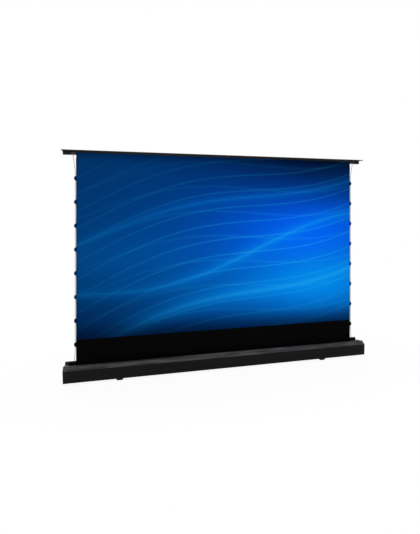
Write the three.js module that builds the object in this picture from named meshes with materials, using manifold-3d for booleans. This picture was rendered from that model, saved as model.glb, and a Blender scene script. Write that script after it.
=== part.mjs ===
// Floor-rising projection screen, shown raised: a low case with a roller, a tab-tensioned cloth,
// a lid-like top bar, and two sprung knee arms that carry the bar behind the cloth.
// Millimetres, +Z up. X runs along the case and the screen faces -Y. All sizes here are written
// from the plane of the cloth (y = 0) and the floor (z = 0); the last lines move the origin to
// the middle of the footprint.

import * as THREE from "three";
import { mergeVertices } from "three/addons/utils/BufferGeometryUtils.js";
import Module from "manifold-3d";

const wasm = await Module();
wasm.setup();

// Clearances, and how finely small curves are drawn
const SEAT = 0.3;
const OVERRUN = 5;
const CORNER_STEPS = 4;
const SMALL_CORNER_STEPS = 2;

// Cloth
const PICTURE_WIDTH = 2214;
const PICTURE_HEIGHT = 1348;
const DROP_HEIGHT = 224;
const HEADER_HEIGHT = 6.5;
const CLOTH_THICKNESS = 0.8;
const EDGE_BOW = 2.5;
const FIRST_TAB_BELOW_TOP = 185;
const LAST_TAB_ABOVE_CASE = 134;
const TAB_PITCH = 171;
const TAB_BASE = 38;
const TAB_TIP = 16;
const TAB_REACH = 12;
const TAB_THICKNESS = 5.6;
const TAB_ROOT = 5;
const TAB_ROUNDING = 3;

// Tension cords
const CORD_RADIUS = 1.5;
const CORD_FROM_EDGE = 7.5;
const CORD_BORE_GAP = 0.4;
const CORD_SIDES = 8;
const CORD_STEPS = 44;
const CORD_IN_ANCHOR = 9;
const CORD_FLARE_HEIGHT = 110;
const CORD_STRAIGHT_LEAD = 20;
const CORD_CASE_FLARE = 5.5;

// Case
const CASE_PAST_PICTURE = 82;
const CASE_LENGTH = PICTURE_WIDTH + 2 * CASE_PAST_PICTURE;
const ROLL_TO_FRONT = 23;
const ROLL_TO_LEDGE = 15.3;
const ARM_TO_REAR = 16;
const ARM_TO_LEDGE = 3;
const LEDGE_TO_RIM = 7;
const LEDGE_TO_CREST = 9;
const SLOPE_DROP = 21;
const CREST_WIDTH = 10;
const CREST_REAR = 47;
const FRONT_LEDGE_EDGE = 30;
const FRONT_LIP_DROP = 7;
const CASE_WALL = 2.2;
const COVER_LIFT = 3;
const BASE_FLANGE_HEIGHT = 14;
const BACK_FOOT_DEPTH = 7;
const BACK_FOOT_HEIGHT = 6;
const CASE_CORNER = 3;
const CREST_ROUNDING = 4;

// End caps of the case
const CAP_LENGTH = 24;
const CAP_DRAFT = 3.5;
const CAP_PLUG_LENGTH = 11;
const CAP_PLUG_INSET = 6;
const CAP_NOTCH_GAP = 2.5;
const CAP_NOTCH_FRONT = 1;
const CAP_PLUG_BELOW_NOTCH = 13;

// Roller
const ROLLER_HEIGHT = 48;
const TUBE_RADIUS = 30;
const TUBE_WALL = 1.6;
const ROLL_TURNS = 2;
const ROLL_PITCH = 1.3;
const TURN_STEPS = 24;
const TUBE_PAST_CLOTH = 25;
const ROUND_SIDES = 24;

// Motor and idler
const BRACKET_PAST_TUBE = 6;
const BRACKET_THICKNESS = 3;
const BRACKET_ABOVE_AXIS = 38;
const BRACKET_REAR_ABOVE_AXIS = 22;
const BRACKET_STEP = 13;
const BRACKET_INSET = 3;
const MOTOR_RADIUS = 22;
const MOTOR_LENGTH = 540;
const MOTOR_HEAD_RADIUS = 20;
const MOTOR_HEAD_LENGTH = 9;
const MOTOR_SPIGOT_RADIUS = 15;
const MOTOR_SHAFT_RADIUS = 6;
const MOTOR_SHAFT_LENGTH = 22;
const WHEEL_THICKNESS = 15;
const CROWN_OFFSET = 14;
const IDLER_PLUG_LENGTH = 30;
const IDLER_FLANGE = 2.4;
const IDLER_BUSH_RADIUS = 10;
const IDLER_PIN_RADIUS = 6;
const IDLER_HEAD_RADIUS = 10;
const IDLER_HEAD_LENGTH = 4;

// Control box and power inlet
const CONTROL_LENGTH = 180;
const CONTROL_DEPTH = 12;
const CONTROL_HEIGHT = 34;
const CONTROL_ROUNDING = 2;
const CONTROL_FROM_END = 60;
const INLET_FROM_END = 60;
const INLET_HEIGHT = 34;
const INLET_WIDTH = 30;
const INLET_TALL = 22;
const INLET_DEPTH = 20;
const INLET_FLANGE = 3;
const INLET_FLANGE_THICKNESS = 1.6;
const INLET_ROUNDING = 3;
const SOCKET_WALL = 3.5;
const SOCKET_DEPTH = 16;
const SOCKET_PIN_RADIUS = 1.4;
const SOCKET_PIN_LENGTH = 10;
const SOCKET_PIN_SPACING = 9;
const SOCKET_PIN_SIDES = 12;

// Knee arms
const SHOULDER_INSET = 67;
const SHOULDER_EYE_GAP = 5.6;
const RAISED_ANGLE_DEGREES = 67;
const TOP_EYE_GAP = 3.7;
const ARM_HEIGHT = 28;
const ARM_THICKNESS = 11;
const ARM_WALL = 1.5;
const ARM_CORNER = 2.5;
const UPPER_ARM_FRONT = 4.5;
const ARM_SPACING = 4;
const ARM_TUBE_START = 24;
const TONGUE_LENGTH = 30;
const PIN_RADIUS = 5;
const PIN_GAP = 0.3;
const PIN_HEAD_RADIUS = 8;
const PIN_HEAD_LENGTH = 1.2;
const SPACER_RADIUS = 11;
const SPRING_LENGTH = 560;
const SPRING_RADIUS = 3.5;
const SPRING_WIRE = 1.3;
const SPRING_SIDES = 16;
const EYE_SIDES = 20;

// Pivot brackets
const CHEEK_THICKNESS = 2.5;
const FORK_HALF_WIDTH = 16;
const FORK_PLATE = 2.3;
const CHEEK_STEPS = 6;

// Top bar
const BAR_PAST_CASE = 16;
const BAR_LENGTH = CASE_LENGTH + 2 * BAR_PAST_CASE;
const LID_TO_CREST = 3;
const LID_TO_RIM = 1.3;
const LID_HEIGHT = 7;
const LID_SKIN = 3;
const LID_LIP = 5;
const LID_ROUNDING = 2;
const BAR_BODY_DROP = 21.5;
const BAR_TO_LEDGE = 3.5;
const BAR_BODY_WALL = 2;
const BAR_BODY_CORNER = 1.5;
const BAR_END_SETBACK = 5;
const BAR_END_LENGTH = 56;
const BAR_END_PLUG = 12;
const BAR_END_ROUNDING = 4;
const CLAMP_THICKNESS = 2.6;
const ANCHOR_INSET = 1;
const ANCHOR_WIDTH = 37;
const ANCHOR_DEPTH = 10.4;
const ANCHOR_DROP = 18;
const ANCHOR_ROUNDING = 2;
const ANCHOR_BORE_DEPTH = 14;

// Feet
const FOOT_FROM_END = 387;
const FOOT_SPACING = CASE_LENGTH - 2 * FOOT_FROM_END;
const FOOT_WIDTH = 50;
const FOOT_TIP_WIDTH = 44;
const FOOT_HEIGHT = 10.4;
const FOOT_BEHIND_FRONT = 4;
const FOOT_TAIL = 150;
const FOOT_PIVOT_BACK = -20;
const FOOT_ROUNDING = 8;
const PAD_HEIGHT = 3;
const PAD_INSET = 4;
const FOOT_BOLT_RADIUS = 6;
const FOOT_BOLT_HEAD_RADIUS = 10;
const FOOT_BOLT_HEAD = 3.4;
const FOOT_NUT_HEIGHT = 5;

// Places that follow from the sizes
const radians = Math.PI / 180;
const halfPicture = PICTURE_WIDTH / 2;
const footBottom = PAD_HEIGHT + SEAT;
const caseBottom = footBottom + FOOT_HEIGHT + SEAT;
const rollerZ = caseBottom + ROLLER_HEIGHT;
const rollRadius = TUBE_RADIUS + SEAT + CLOTH_THICKNESS / 2 + ROLL_PITCH * ROLL_TURNS;
const rollOuter = rollRadius + CLOTH_THICKNESS / 2;
const rollerY = -rollRadius;
const tubeHalf = halfPicture + TUBE_PAST_CLOTH;
const bracketInner = tubeHalf + BRACKET_PAST_TUBE;
const bracketOuter = bracketInner + BRACKET_THICKNESS;
const eyeRadius = ARM_HEIGHT / 2;
const upperArmRear = UPPER_ARM_FRONT + ARM_THICKNESS;
const lowerArmFront = upperArmRear + ARM_SPACING;
const lowerArmRear = lowerArmFront + ARM_THICKNESS;
const frontDepth = rollRadius + rollOuter + ROLL_TO_FRONT;
const rearDepth = lowerArmRear + ARM_TO_REAR;
const rearLedgeEdge = lowerArmRear + ARM_TO_LEDGE;
const backInside = rearDepth - CASE_WALL;
const backFootFront = backInside - BACK_FOOT_DEPTH;
const backFootBottom = caseBottom + CASE_WALL + SEAT;
const backFootTop = backFootBottom + BACK_FOOT_HEIGHT;
const ledgeTop = rollerZ + rollOuter + ROLL_TO_LEDGE;
const rimTop = ledgeTop + LEDGE_TO_RIM;
const crestTop = ledgeTop + LEDGE_TO_CREST;
const slopeFoot = crestTop - SLOPE_DROP;
const shellHalf = CASE_LENGTH / 2 - CAP_LENGTH - SEAT;
const pictureBottom = rollerZ + DROP_HEIGHT;
const pictureTop = pictureBottom + PICTURE_HEIGHT;
const lidEdge = pictureTop + HEADER_HEIGHT;
const lidTop = lidEdge + LID_HEIGHT;
const lidSkinUnder = lidTop - LID_SKIN;
const bodyTop = lidSkinUnder - SEAT;
const bodyBottom = lidEdge - BAR_BODY_DROP;
const bodyFront = CLOTH_THICKNESS / 2 + SEAT;
const bodyRear = rearLedgeEdge - BAR_TO_LEDGE;
const bodyHalf = BAR_LENGTH / 2 - BAR_END_SETBACK - BAR_END_LENGTH;
const shoulderHeight = CASE_WALL + SEAT + FORK_PLATE + SHOULDER_EYE_GAP + eyeRadius;
const topPivotDrop = eyeRadius + TOP_EYE_GAP + FORK_PLATE;
const shoulderX = halfPicture - SHOULDER_INSET;
const shoulderZ = caseBottom + shoulderHeight;
const topPivotZ = bodyBottom - SEAT - topPivotDrop;
const raisedAngle = RAISED_ANGLE_DEGREES * radians;
const armLength = (topPivotZ - shoulderZ) / (2 * Math.sin(raisedAngle));
const elbowX = shoulderX - armLength * Math.cos(raisedAngle);
const elbowZ = shoulderZ + armLength * Math.sin(raisedAngle);
const cordX = halfPicture + CORD_FROM_EDGE;
const anchorStart = halfPicture + ANCHOR_INSET;
const anchorMiddleX = anchorStart + ANCHOR_WIDTH / 2;
const anchorRear = bodyFront - SEAT;
const anchorMiddleY = anchorRear - ANCHOR_DEPTH / 2;
const anchorBottom = bodyBottom;
const firstTabZ = pictureTop - FIRST_TAB_BELOW_TOP;
const lastTabZ = rimTop + LAST_TAB_ABOVE_CASE;
const tabCount = Math.round((firstTabZ - lastTabZ) / TAB_PITCH) + 1;
const tabPitch = (firstTabZ - lastTabZ) / (tabCount - 1);
const footNose = FOOT_BEHIND_FRONT - frontDepth;
const footTail = FOOT_PIVOT_BACK + FOOT_TAIL;

const finishes = {
  coverPaint: new THREE.MeshStandardMaterial({ color: 0x1c1c1f, roughness: 0.55, metalness: 0.3 }),
  basePaint: new THREE.MeshStandardMaterial({ color: 0x161618, roughness: 0.6, metalness: 0.3 }),
  capPlastic: new THREE.MeshStandardMaterial({ color: 0x232325, roughness: 0.5, metalness: 0 }),
  barPaint: new THREE.MeshStandardMaterial({ color: 0x1e1e20, roughness: 0.5, metalness: 0.3 }),
  barPlastic: new THREE.MeshStandardMaterial({ color: 0x121213, roughness: 0.55, metalness: 0 }),
  anchorPlastic: new THREE.MeshStandardMaterial({ color: 0x3a3a3c, roughness: 0.5, metalness: 0 }),
  armPaint: new THREE.MeshStandardMaterial({ color: 0x26262a, roughness: 0.45, metalness: 0.4 }),
  forkSteel: new THREE.MeshStandardMaterial({ color: 0x303034, roughness: 0.45, metalness: 0.6 }),
  pinSteel: new THREE.MeshStandardMaterial({ color: 0xa8aaad, roughness: 0.3, metalness: 1 }),
  tubeAluminium: new THREE.MeshStandardMaterial({ color: 0xb4b6ba, roughness: 0.4, metalness: 1 }),
  motorSteel: new THREE.MeshStandardMaterial({ color: 0x8c8f94, roughness: 0.4, metalness: 1 }),
  wheelPlastic: new THREE.MeshStandardMaterial({ color: 0xd0d0cc, roughness: 0.6, metalness: 0 }),
  cloth: new THREE.MeshStandardMaterial({ color: 0x0a3a78, roughness: 0.7, metalness: 0 }),
  blackCloth: new THREE.MeshStandardMaterial({ color: 0x0a0a0a, roughness: 0.8, metalness: 0 }),
  cord: new THREE.MeshStandardMaterial({ color: 0x808184, roughness: 0.6, metalness: 0 }),
  footPaint: new THREE.MeshStandardMaterial({ color: 0x131314, roughness: 0.6, metalness: 0.2 }),
  rubber: new THREE.MeshStandardMaterial({ color: 0x0c0c0c, roughness: 0.9, metalness: 0 }),
  controlPlastic: new THREE.MeshStandardMaterial({ color: 0x2a2a2c, roughness: 0.6, metalness: 0 }),
};

// A closed outline through corners [across, up, rounding], each corner rounded where it has a third value.
function outline(corners) {
  const shape = new THREE.Shape();
  const count = corners.length;
  corners.forEach(([across, up, rounding = 0], index) => {
    const corner = new THREE.Vector2(across, up);
    const before = corners[(index + count - 1) % count];
    const after = corners[(index + 1) % count];
    const toBefore = new THREE.Vector2(before[0], before[1]).sub(corner);
    const toAfter = new THREE.Vector2(after[0], after[1]).sub(corner);
    const halfAngle = Math.abs(toBefore.angleTo(toAfter)) / 2;
    const reach = Math.min(rounding / Math.tan(halfAngle), toBefore.length() / 2, toAfter.length() / 2);
    const start = corner.clone().addScaledVector(toBefore.normalize(), reach);
    const end = corner.clone().addScaledVector(toAfter.normalize(), reach);
    if (index === 0) shape.moveTo(start.x, start.y);
    else shape.lineTo(start.x, start.y);
    if (rounding > 0) shape.quadraticCurveTo(across, up, end.x, end.y);
  });
  shape.closePath();
  return shape;
}

function rectangle(low, high, bottom, top, rounding = 0) {
  const corners = [[low, bottom], [high, bottom], [high, top], [low, top]];
  return outline(corners.map(([across, up]) => [across, up, rounding]));
}

function disc(across, up, radius) {
  const shape = new THREE.Shape();
  shape.absarc(across, up, radius, 0, 2 * Math.PI, false);
  return shape;
}

function extruded(shape, depth, arcSteps) {
  return new THREE.ExtrudeGeometry(shape, { depth, bevelEnabled: false, curveSegments: arcSteps });
}

// Three ways to extrude: an outline drawn in Y and Z runs along X, and so on.
function alongX(shape, from, to, arcSteps = CORNER_STEPS) {
  const turn = new THREE.Matrix4().makeBasis(
    new THREE.Vector3(0, 1, 0),
    new THREE.Vector3(0, 0, 1),
    new THREE.Vector3(1, 0, 0),
  );
  return extruded(shape, to - from, arcSteps).applyMatrix4(turn).translate(from, 0, 0);
}

function alongY(shape, from, to, arcSteps = CORNER_STEPS) {
  return extruded(shape, to - from, arcSteps).rotateX(Math.PI / 2).translate(0, to, 0);
}

function alongZ(shape, from, to, arcSteps = CORNER_STEPS) {
  return extruded(shape, to - from, arcSteps).translate(0, 0, from);
}

// A turned solid: the profile lists [radius, distance along the axis].
function turned(profile, sides = ROUND_SIDES) {
  const points = profile.map(([radius, along]) => new THREE.Vector2(radius, along));
  return new THREE.LatheGeometry(points, sides);
}

function turnedX(profile, sides) {
  return turned(profile, sides).rotateZ(-Math.PI / 2);
}

function turnedZ(profile, sides) {
  return turned(profile, sides).rotateX(Math.PI / 2);
}

function rod(radius, from, to) {
  return [[0, from], [radius, from], [radius, to], [0, to]];
}

function ring(inner, outer, from, to) {
  return [[inner, from], [outer, from], [outer, to], [inner, to], [inner, from]];
}

function toSolid(geometry) {
  const bare = geometry.clone();
  bare.deleteAttribute("normal");
  bare.deleteAttribute("uv");
  const merged = mergeVertices(bare);
  const index = merged.index.array;
  const triangles = [];
  for (let i = 0; i < index.length; i += 3) {
    const [a, b, c] = [index[i], index[i + 1], index[i + 2]];
    if (a !== b && b !== c && c !== a) triangles.push(a, b, c);
  }
  const vertProperties = new Float32Array(merged.attributes.position.array);
  const triVerts = new Uint32Array(triangles);
  return new wasm.Manifold(new wasm.Mesh({ numProp: 3, vertProperties, triVerts }));
}

function toGeometry(solid) {
  const mesh = solid.getMesh();
  const geometry = new THREE.BufferGeometry();
  geometry.setAttribute("position", new THREE.BufferAttribute(new Float32Array(mesh.vertProperties), 3));
  geometry.setIndex(new THREE.BufferAttribute(new Uint32Array(mesh.triVerts), 1));
  const faceted = geometry.toNonIndexed();
  faceted.computeVertexNormals();
  return faceted;
}

// A faceted solid mirrored in X, each triangle turned round again so that it still points out.
function mirrored(geometry) {
  const position = geometry.clone().scale(-1, 1, 1).attributes.position;
  const vertices = [];
  for (let i = 0; i < position.count; i += 3) {
    for (const corner of [i, i + 2, i + 1]) {
      vertices.push(position.getX(corner), position.getY(corner), position.getZ(corner));
    }
  }
  const result = new THREE.BufferGeometry();
  result.setAttribute("position", new THREE.Float32BufferAttribute(vertices, 3));
  result.computeVertexNormals();
  return result;
}

function joined(first, ...others) {
  return toGeometry(others.reduce((solid, other) => solid.add(toSolid(other)), toSolid(first)));
}

function cut(first, ...tools) {
  return toGeometry(tools.reduce((solid, tool) => solid.subtract(toSolid(tool)), toSolid(first)));
}

function common(first, second) {
  return toGeometry(toSolid(first).intersect(toSolid(second)));
}

const screen = new THREE.Group();

function add(name, geometry, finish, group = screen) {
  const mesh = new THREE.Mesh(geometry, finish);
  mesh.name = name;
  group.add(mesh);
  return mesh;
}

const sides = [
  { side: "left", sign: -1 },
  { side: "right", sign: 1 },
];

// The same range of X on either side of the middle, always in rising order.
function mirroredRange(sign, near, far) {
  return sign < 0 ? [-far, -near] : [near, far];
}

// The front cover: upright front, sloped top face, crest, and the ledge that the lid lands on.
function caseFront() {
  const front = -frontDepth;
  const crestFront = -CREST_REAR - CREST_WIDTH;
  const crestRear = -CREST_REAR;
  const ledgeEdge = -FRONT_LEDGE_EDGE;
  const bottom = caseBottom + COVER_LIFT;
  const wallEnd = crestRear - CASE_WALL;
  const profile = outline([
    [front, bottom],
    [front + CASE_WALL, bottom],
    [front + CASE_WALL, slopeFoot - CASE_WALL / 2, CASE_CORNER],
    [crestFront + CASE_WALL / 2, crestTop - CASE_WALL],
    [wallEnd, crestTop - CASE_WALL],
    [wallEnd, ledgeTop - CASE_WALL],
    [ledgeEdge - CASE_WALL, ledgeTop - CASE_WALL],
    [ledgeEdge - CASE_WALL, ledgeTop - FRONT_LIP_DROP],
    [ledgeEdge, ledgeTop - FRONT_LIP_DROP],
    [ledgeEdge, ledgeTop, CASE_WALL / 2],
    [crestRear, ledgeTop],
    [crestRear, crestTop, CREST_ROUNDING / 2],
    [crestFront, crestTop, CREST_ROUNDING],
    [front, slopeFoot, CASE_CORNER],
  ]);
  return alongX(profile, -shellHalf, shellHalf);
}

// The base: a floor plate with a low front flange behind the cover, and holes for the foot bolts.
function caseBase() {
  const flangeFront = -frontDepth + CASE_WALL + SEAT;
  const floor = caseBottom + CASE_WALL;
  const profile = outline([
    [flangeFront, caseBottom],
    [rearDepth, caseBottom, CASE_WALL / 2],
    [rearDepth, floor],
    [flangeFront + CASE_WALL, floor],
    [flangeFront + CASE_WALL, caseBottom + BASE_FLANGE_HEIGHT],
    [flangeFront, caseBottom + BASE_FLANGE_HEIGHT],
  ]);
  const shell = alongX(profile, -shellHalf, shellHalf);
  const boltHole = rod(FOOT_BOLT_RADIUS + SEAT, caseBottom - OVERRUN, floor + OVERRUN);
  const boltHoles = sides.map(({ sign }) =>
    turnedZ(boltHole).translate((sign * FOOT_SPACING) / 2, FOOT_PIVOT_BACK, 0),
  );
  return cut(shell, ...boltHoles);
}

// The back panel stands on the floor plate on a solid foot, which its screws enter from below. It
// carries the rear rim and the ledge for the lid, and the power inlet's window is cut in it.
function caseBack() {
  const profile = outline([
    [backFootFront, backFootBottom],
    [rearDepth, backFootBottom],
    [rearDepth, rimTop, CASE_WALL / 2],
    [backInside, rimTop, CASE_WALL / 3],
    [backInside, ledgeTop],
    [rearLedgeEdge, ledgeTop, CASE_WALL / 3],
    [rearLedgeEdge, ledgeTop - CASE_WALL],
    [backInside, ledgeTop - CASE_WALL],
    [backInside, backFootTop],
    [backFootFront, backFootTop],
  ]);
  const inletX = inletPlace();
  const window = alongY(
    rectangle(
      inletX - INLET_WIDTH / 2 - SEAT,
      inletX + INLET_WIDTH / 2 + SEAT,
      caseBottom + INLET_HEIGHT - INLET_TALL / 2 - SEAT,
      caseBottom + INLET_HEIGHT + INLET_TALL / 2 + SEAT,
      INLET_ROUNDING,
    ),
    backInside - OVERRUN,
    rearDepth + OVERRUN,
  );
  return cut(alongX(profile, -shellHalf, shellHalf), window);
}

function inletPlace() {
  return -bracketInner + INLET_FROM_END - INLET_WIDTH / 2;
}

// A moulded end cap: the case's outline with a saddle for the lid and a notch for the bar,
// drawn in towards the floor, and a plug that enters the shells.
function endCap(sign) {
  const notchFront = -CAP_NOTCH_FRONT;
  const notchFloor = ledgeTop - BAR_BODY_DROP - CAP_NOTCH_GAP;
  const plugTop = notchFloor - CAP_PLUG_BELOW_NOTCH;
  const profile = outline([
    [-frontDepth, caseBottom, CASE_CORNER],
    [rearDepth, caseBottom, CASE_CORNER],
    [rearDepth, rimTop, CASE_WALL / 2],
    [backInside, rimTop, CASE_WALL / 3],
    [backInside, ledgeTop],
    [rearLedgeEdge, ledgeTop, CASE_WALL],
    [rearLedgeEdge, notchFloor, CASE_CORNER],
    [notchFront, notchFloor, CASE_CORNER],
    [notchFront, ledgeTop, CREST_ROUNDING],
    [-CREST_REAR, ledgeTop, CREST_ROUNDING / 2],
    [-CREST_REAR, crestTop, CREST_ROUNDING / 2],
    [-CREST_REAR - CREST_WIDTH, crestTop, CREST_ROUNDING],
    [-frontDepth, slopeFoot, CASE_CORNER],
  ]);
  const inner = CASE_LENGTH / 2 - CAP_LENGTH;
  const outer = CASE_LENGTH / 2;
  const shell = alongX(profile, inner, outer);
  const position = shell.attributes.position;
  for (let i = 0; i < position.count; i += 1) {
    if (position.getX(i) < outer - CAP_LENGTH / 2) continue;
    const drop = (crestTop - position.getZ(i)) / (crestTop - caseBottom);
    position.setX(i, outer - CAP_DRAFT * drop);
  }
  const plugFront = -frontDepth + CAP_PLUG_INSET;
  const plugBottom = backFootTop + SEAT;
  const plug = alongX(
    outline([
      [plugFront, plugBottom],
      [rearDepth - CAP_PLUG_INSET, plugBottom],
      [rearDepth - CAP_PLUG_INSET, plugTop],
      [-CREST_REAR - CAP_PLUG_INSET, plugTop],
      [-CREST_REAR - CAP_PLUG_INSET, ledgeTop - CAP_PLUG_INSET],
      [plugFront, slopeFoot - CAP_PLUG_INSET],
    ]),
    inner - CAP_PLUG_LENGTH,
    inner + CAP_LENGTH / 2,
  );
  const cap = joined(shell, plug);
  return sign < 0 ? mirrored(cap) : cap;
}

// A plate that carries one end of the roller, stepped down behind it to leave the bar its room.
function rollerBracket(sign, holeRadius) {
  const front = -frontDepth + CASE_WALL + BRACKET_INSET + CASE_WALL;
  const bottom = caseBottom + CASE_WALL + SEAT;
  const top = rollerZ + BRACKET_ABOVE_AXIS;
  const rearTop = rollerZ + BRACKET_REAR_ABOVE_AXIS;
  const profile = outline([
    [front, bottom],
    [backFootFront - SEAT, bottom],
    [backFootFront - SEAT, rearTop, CASE_CORNER],
    [-BRACKET_STEP, rearTop],
    [-BRACKET_STEP, top, CASE_CORNER],
    [-CREST_REAR - CREST_WIDTH, top, CASE_CORNER],
    [front, slopeFoot - CAP_PLUG_INSET, CASE_CORNER],
  ]);
  profile.holes.push(disc(rollerY, rollerZ, holeRadius));
  return alongX(profile, ...mirroredRange(sign, bracketInner, bracketOuter), ROUND_SIDES / 2);
}

function rollerAssembly() {
  const place = (geometry) => geometry.translate(0, rollerY, rollerZ);
  const tubeInner = TUBE_RADIUS - TUBE_WALL;
  const wheelRadius = tubeInner - SEAT;
  const tube = turnedX(ring(tubeInner, TUBE_RADIUS, -tubeHalf, tubeHalf));
  add("roller_tube", place(tube), finishes.tubeAluminium);

  const outerEdge = [];
  const innerEdge = [];
  const steps = ROLL_TURNS * TURN_STEPS;
  for (let i = 0; i <= steps; i += 1) {
    const angle = (2 * Math.PI * (i - steps)) / TURN_STEPS;
    const radius = rollRadius - (ROLL_PITCH * (steps - i)) / TURN_STEPS;
    const direction = new THREE.Vector2(Math.cos(angle), Math.sin(angle));
    outerEdge.push(direction.clone().multiplyScalar(radius + CLOTH_THICKNESS / 2));
    innerEdge.push(direction.clone().multiplyScalar(radius - CLOTH_THICKNESS / 2));
  }
  const spiral = new THREE.Shape(outerEdge.concat(innerEdge.reverse()));
  add("cloth_roll", place(alongX(spiral, -halfPicture, halfPicture)), finishes.blackCloth);

  const motorStart = -bracketInner;
  const motorEnd = motorStart + MOTOR_LENGTH;
  const crownStart = -tubeHalf + CROWN_OFFSET;
  add(
    "crown_wheel",
    place(turnedX(ring(MOTOR_RADIUS + SEAT, wheelRadius, crownStart, crownStart + WHEEL_THICKNESS))),
    finishes.wheelPlastic,
  );
  const wheelStart = motorEnd + SEAT;
  add(
    "drive_wheel",
    place(turnedX(ring(MOTOR_SHAFT_RADIUS + SEAT, wheelRadius, wheelStart, wheelStart + WHEEL_THICKNESS))),
    finishes.wheelPlastic,
  );
  const spigotEnd = -bracketOuter - SEAT;
  add(
    "motor_tube",
    place(
      turnedX([
        [0, spigotEnd],
        [MOTOR_SPIGOT_RADIUS, spigotEnd],
        [MOTOR_SPIGOT_RADIUS, motorStart + SEAT],
        [MOTOR_RADIUS, motorStart + SEAT],
        [MOTOR_RADIUS, motorEnd],
        [MOTOR_SHAFT_RADIUS, motorEnd],
        [MOTOR_SHAFT_RADIUS, motorEnd + MOTOR_SHAFT_LENGTH],
        [0, motorEnd + MOTOR_SHAFT_LENGTH],
      ]),
    ),
    finishes.motorSteel,
  );
  const headEnd = spigotEnd - SEAT;
  add(
    "motor_head",
    place(
      turnedX([
        [0, headEnd - MOTOR_HEAD_LENGTH],
        [MOTOR_HEAD_RADIUS - MOTOR_HEAD_LENGTH / 3, headEnd - MOTOR_HEAD_LENGTH],
        [MOTOR_HEAD_RADIUS, headEnd - (MOTOR_HEAD_LENGTH * 2) / 3],
        [MOTOR_HEAD_RADIUS, headEnd],
        [0, headEnd],
      ]),
    ),
    finishes.controlPlastic,
  );

  const plugStart = tubeHalf - IDLER_PLUG_LENGTH;
  const flangeStart = tubeHalf + SEAT;
  add(
    "idler_plug",
    place(
      turnedX([
        [IDLER_BUSH_RADIUS + SEAT, plugStart],
        [wheelRadius, plugStart],
        [wheelRadius, flangeStart],
        [TUBE_RADIUS, flangeStart],
        [TUBE_RADIUS, flangeStart + IDLER_FLANGE],
        [IDLER_BUSH_RADIUS + SEAT, flangeStart + IDLER_FLANGE],
        [IDLER_BUSH_RADIUS + SEAT, plugStart],
      ]),
    ),
    finishes.wheelPlastic,
  );
  add(
    "idler_bush",
    place(turnedX(ring(IDLER_PIN_RADIUS + SEAT, IDLER_BUSH_RADIUS, plugStart, flangeStart + IDLER_FLANGE))),
    finishes.pinSteel,
  );
  const headStart = bracketOuter + SEAT;
  add(
    "idler_pin",
    place(
      turnedX([
        [0, plugStart],
        [IDLER_PIN_RADIUS, plugStart],
        [IDLER_PIN_RADIUS, headStart],
        [IDLER_HEAD_RADIUS, headStart],
        [IDLER_HEAD_RADIUS, headStart + IDLER_HEAD_LENGTH],
        [0, headStart + IDLER_HEAD_LENGTH],
      ]),
    ),
    finishes.pinSteel,
  );
  add("roller_bracket_left", rollerBracket(-1, MOTOR_SPIGOT_RADIUS + SEAT), finishes.forkSteel);
  add("roller_bracket_right", rollerBracket(1, IDLER_PIN_RADIUS + SEAT), finishes.forkSteel);
}

function electrics() {
  const start = -bracketInner + CONTROL_FROM_END;
  const boxFront = -frontDepth + CASE_WALL + SEAT + CASE_WALL + SEAT;
  const boxBottom = caseBottom + CASE_WALL + SEAT;
  add(
    "control_box",
    alongX(
      rectangle(boxFront, boxFront + CONTROL_DEPTH, boxBottom, boxBottom + CONTROL_HEIGHT, CONTROL_ROUNDING),
      start,
      start + CONTROL_LENGTH,
    ),
    finishes.controlPlastic,
  );

  const middleX = inletPlace();
  const middleZ = caseBottom + INLET_HEIGHT;
  const face = rearDepth + SEAT + INLET_FLANGE_THICKNESS;
  const across = INLET_WIDTH / 2;
  const tall = INLET_TALL / 2;
  const socketFloor = face - SOCKET_DEPTH;
  const housing = joined(
    alongY(
      rectangle(middleX - across, middleX + across, middleZ - tall, middleZ + tall, INLET_ROUNDING),
      rearDepth - INLET_DEPTH,
      face,
    ),
    alongY(
      rectangle(
        middleX - across - INLET_FLANGE,
        middleX + across + INLET_FLANGE,
        middleZ - tall - INLET_FLANGE,
        middleZ + tall + INLET_FLANGE,
        INLET_ROUNDING,
      ),
      rearDepth + SEAT,
      face,
    ),
  );
  const socket = alongY(
    rectangle(
      middleX - across + SOCKET_WALL,
      middleX + across - SOCKET_WALL,
      middleZ - tall + SOCKET_WALL,
      middleZ + tall - SOCKET_WALL,
      INLET_ROUNDING,
    ),
    socketFloor,
    face + OVERRUN,
  );
  const prong = rod(SOCKET_PIN_RADIUS, socketFloor - SOCKET_PIN_RADIUS, socketFloor + SOCKET_PIN_LENGTH);
  const prongs = sides.map(({ sign }) =>
    turned(prong, SOCKET_PIN_SIDES).translate(middleX + (sign * SOCKET_PIN_SPACING) / 2, 0, middleZ),
  );
  add("power_inlet", joined(cut(housing, socket), ...prongs), finishes.controlPlastic);
}

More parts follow.
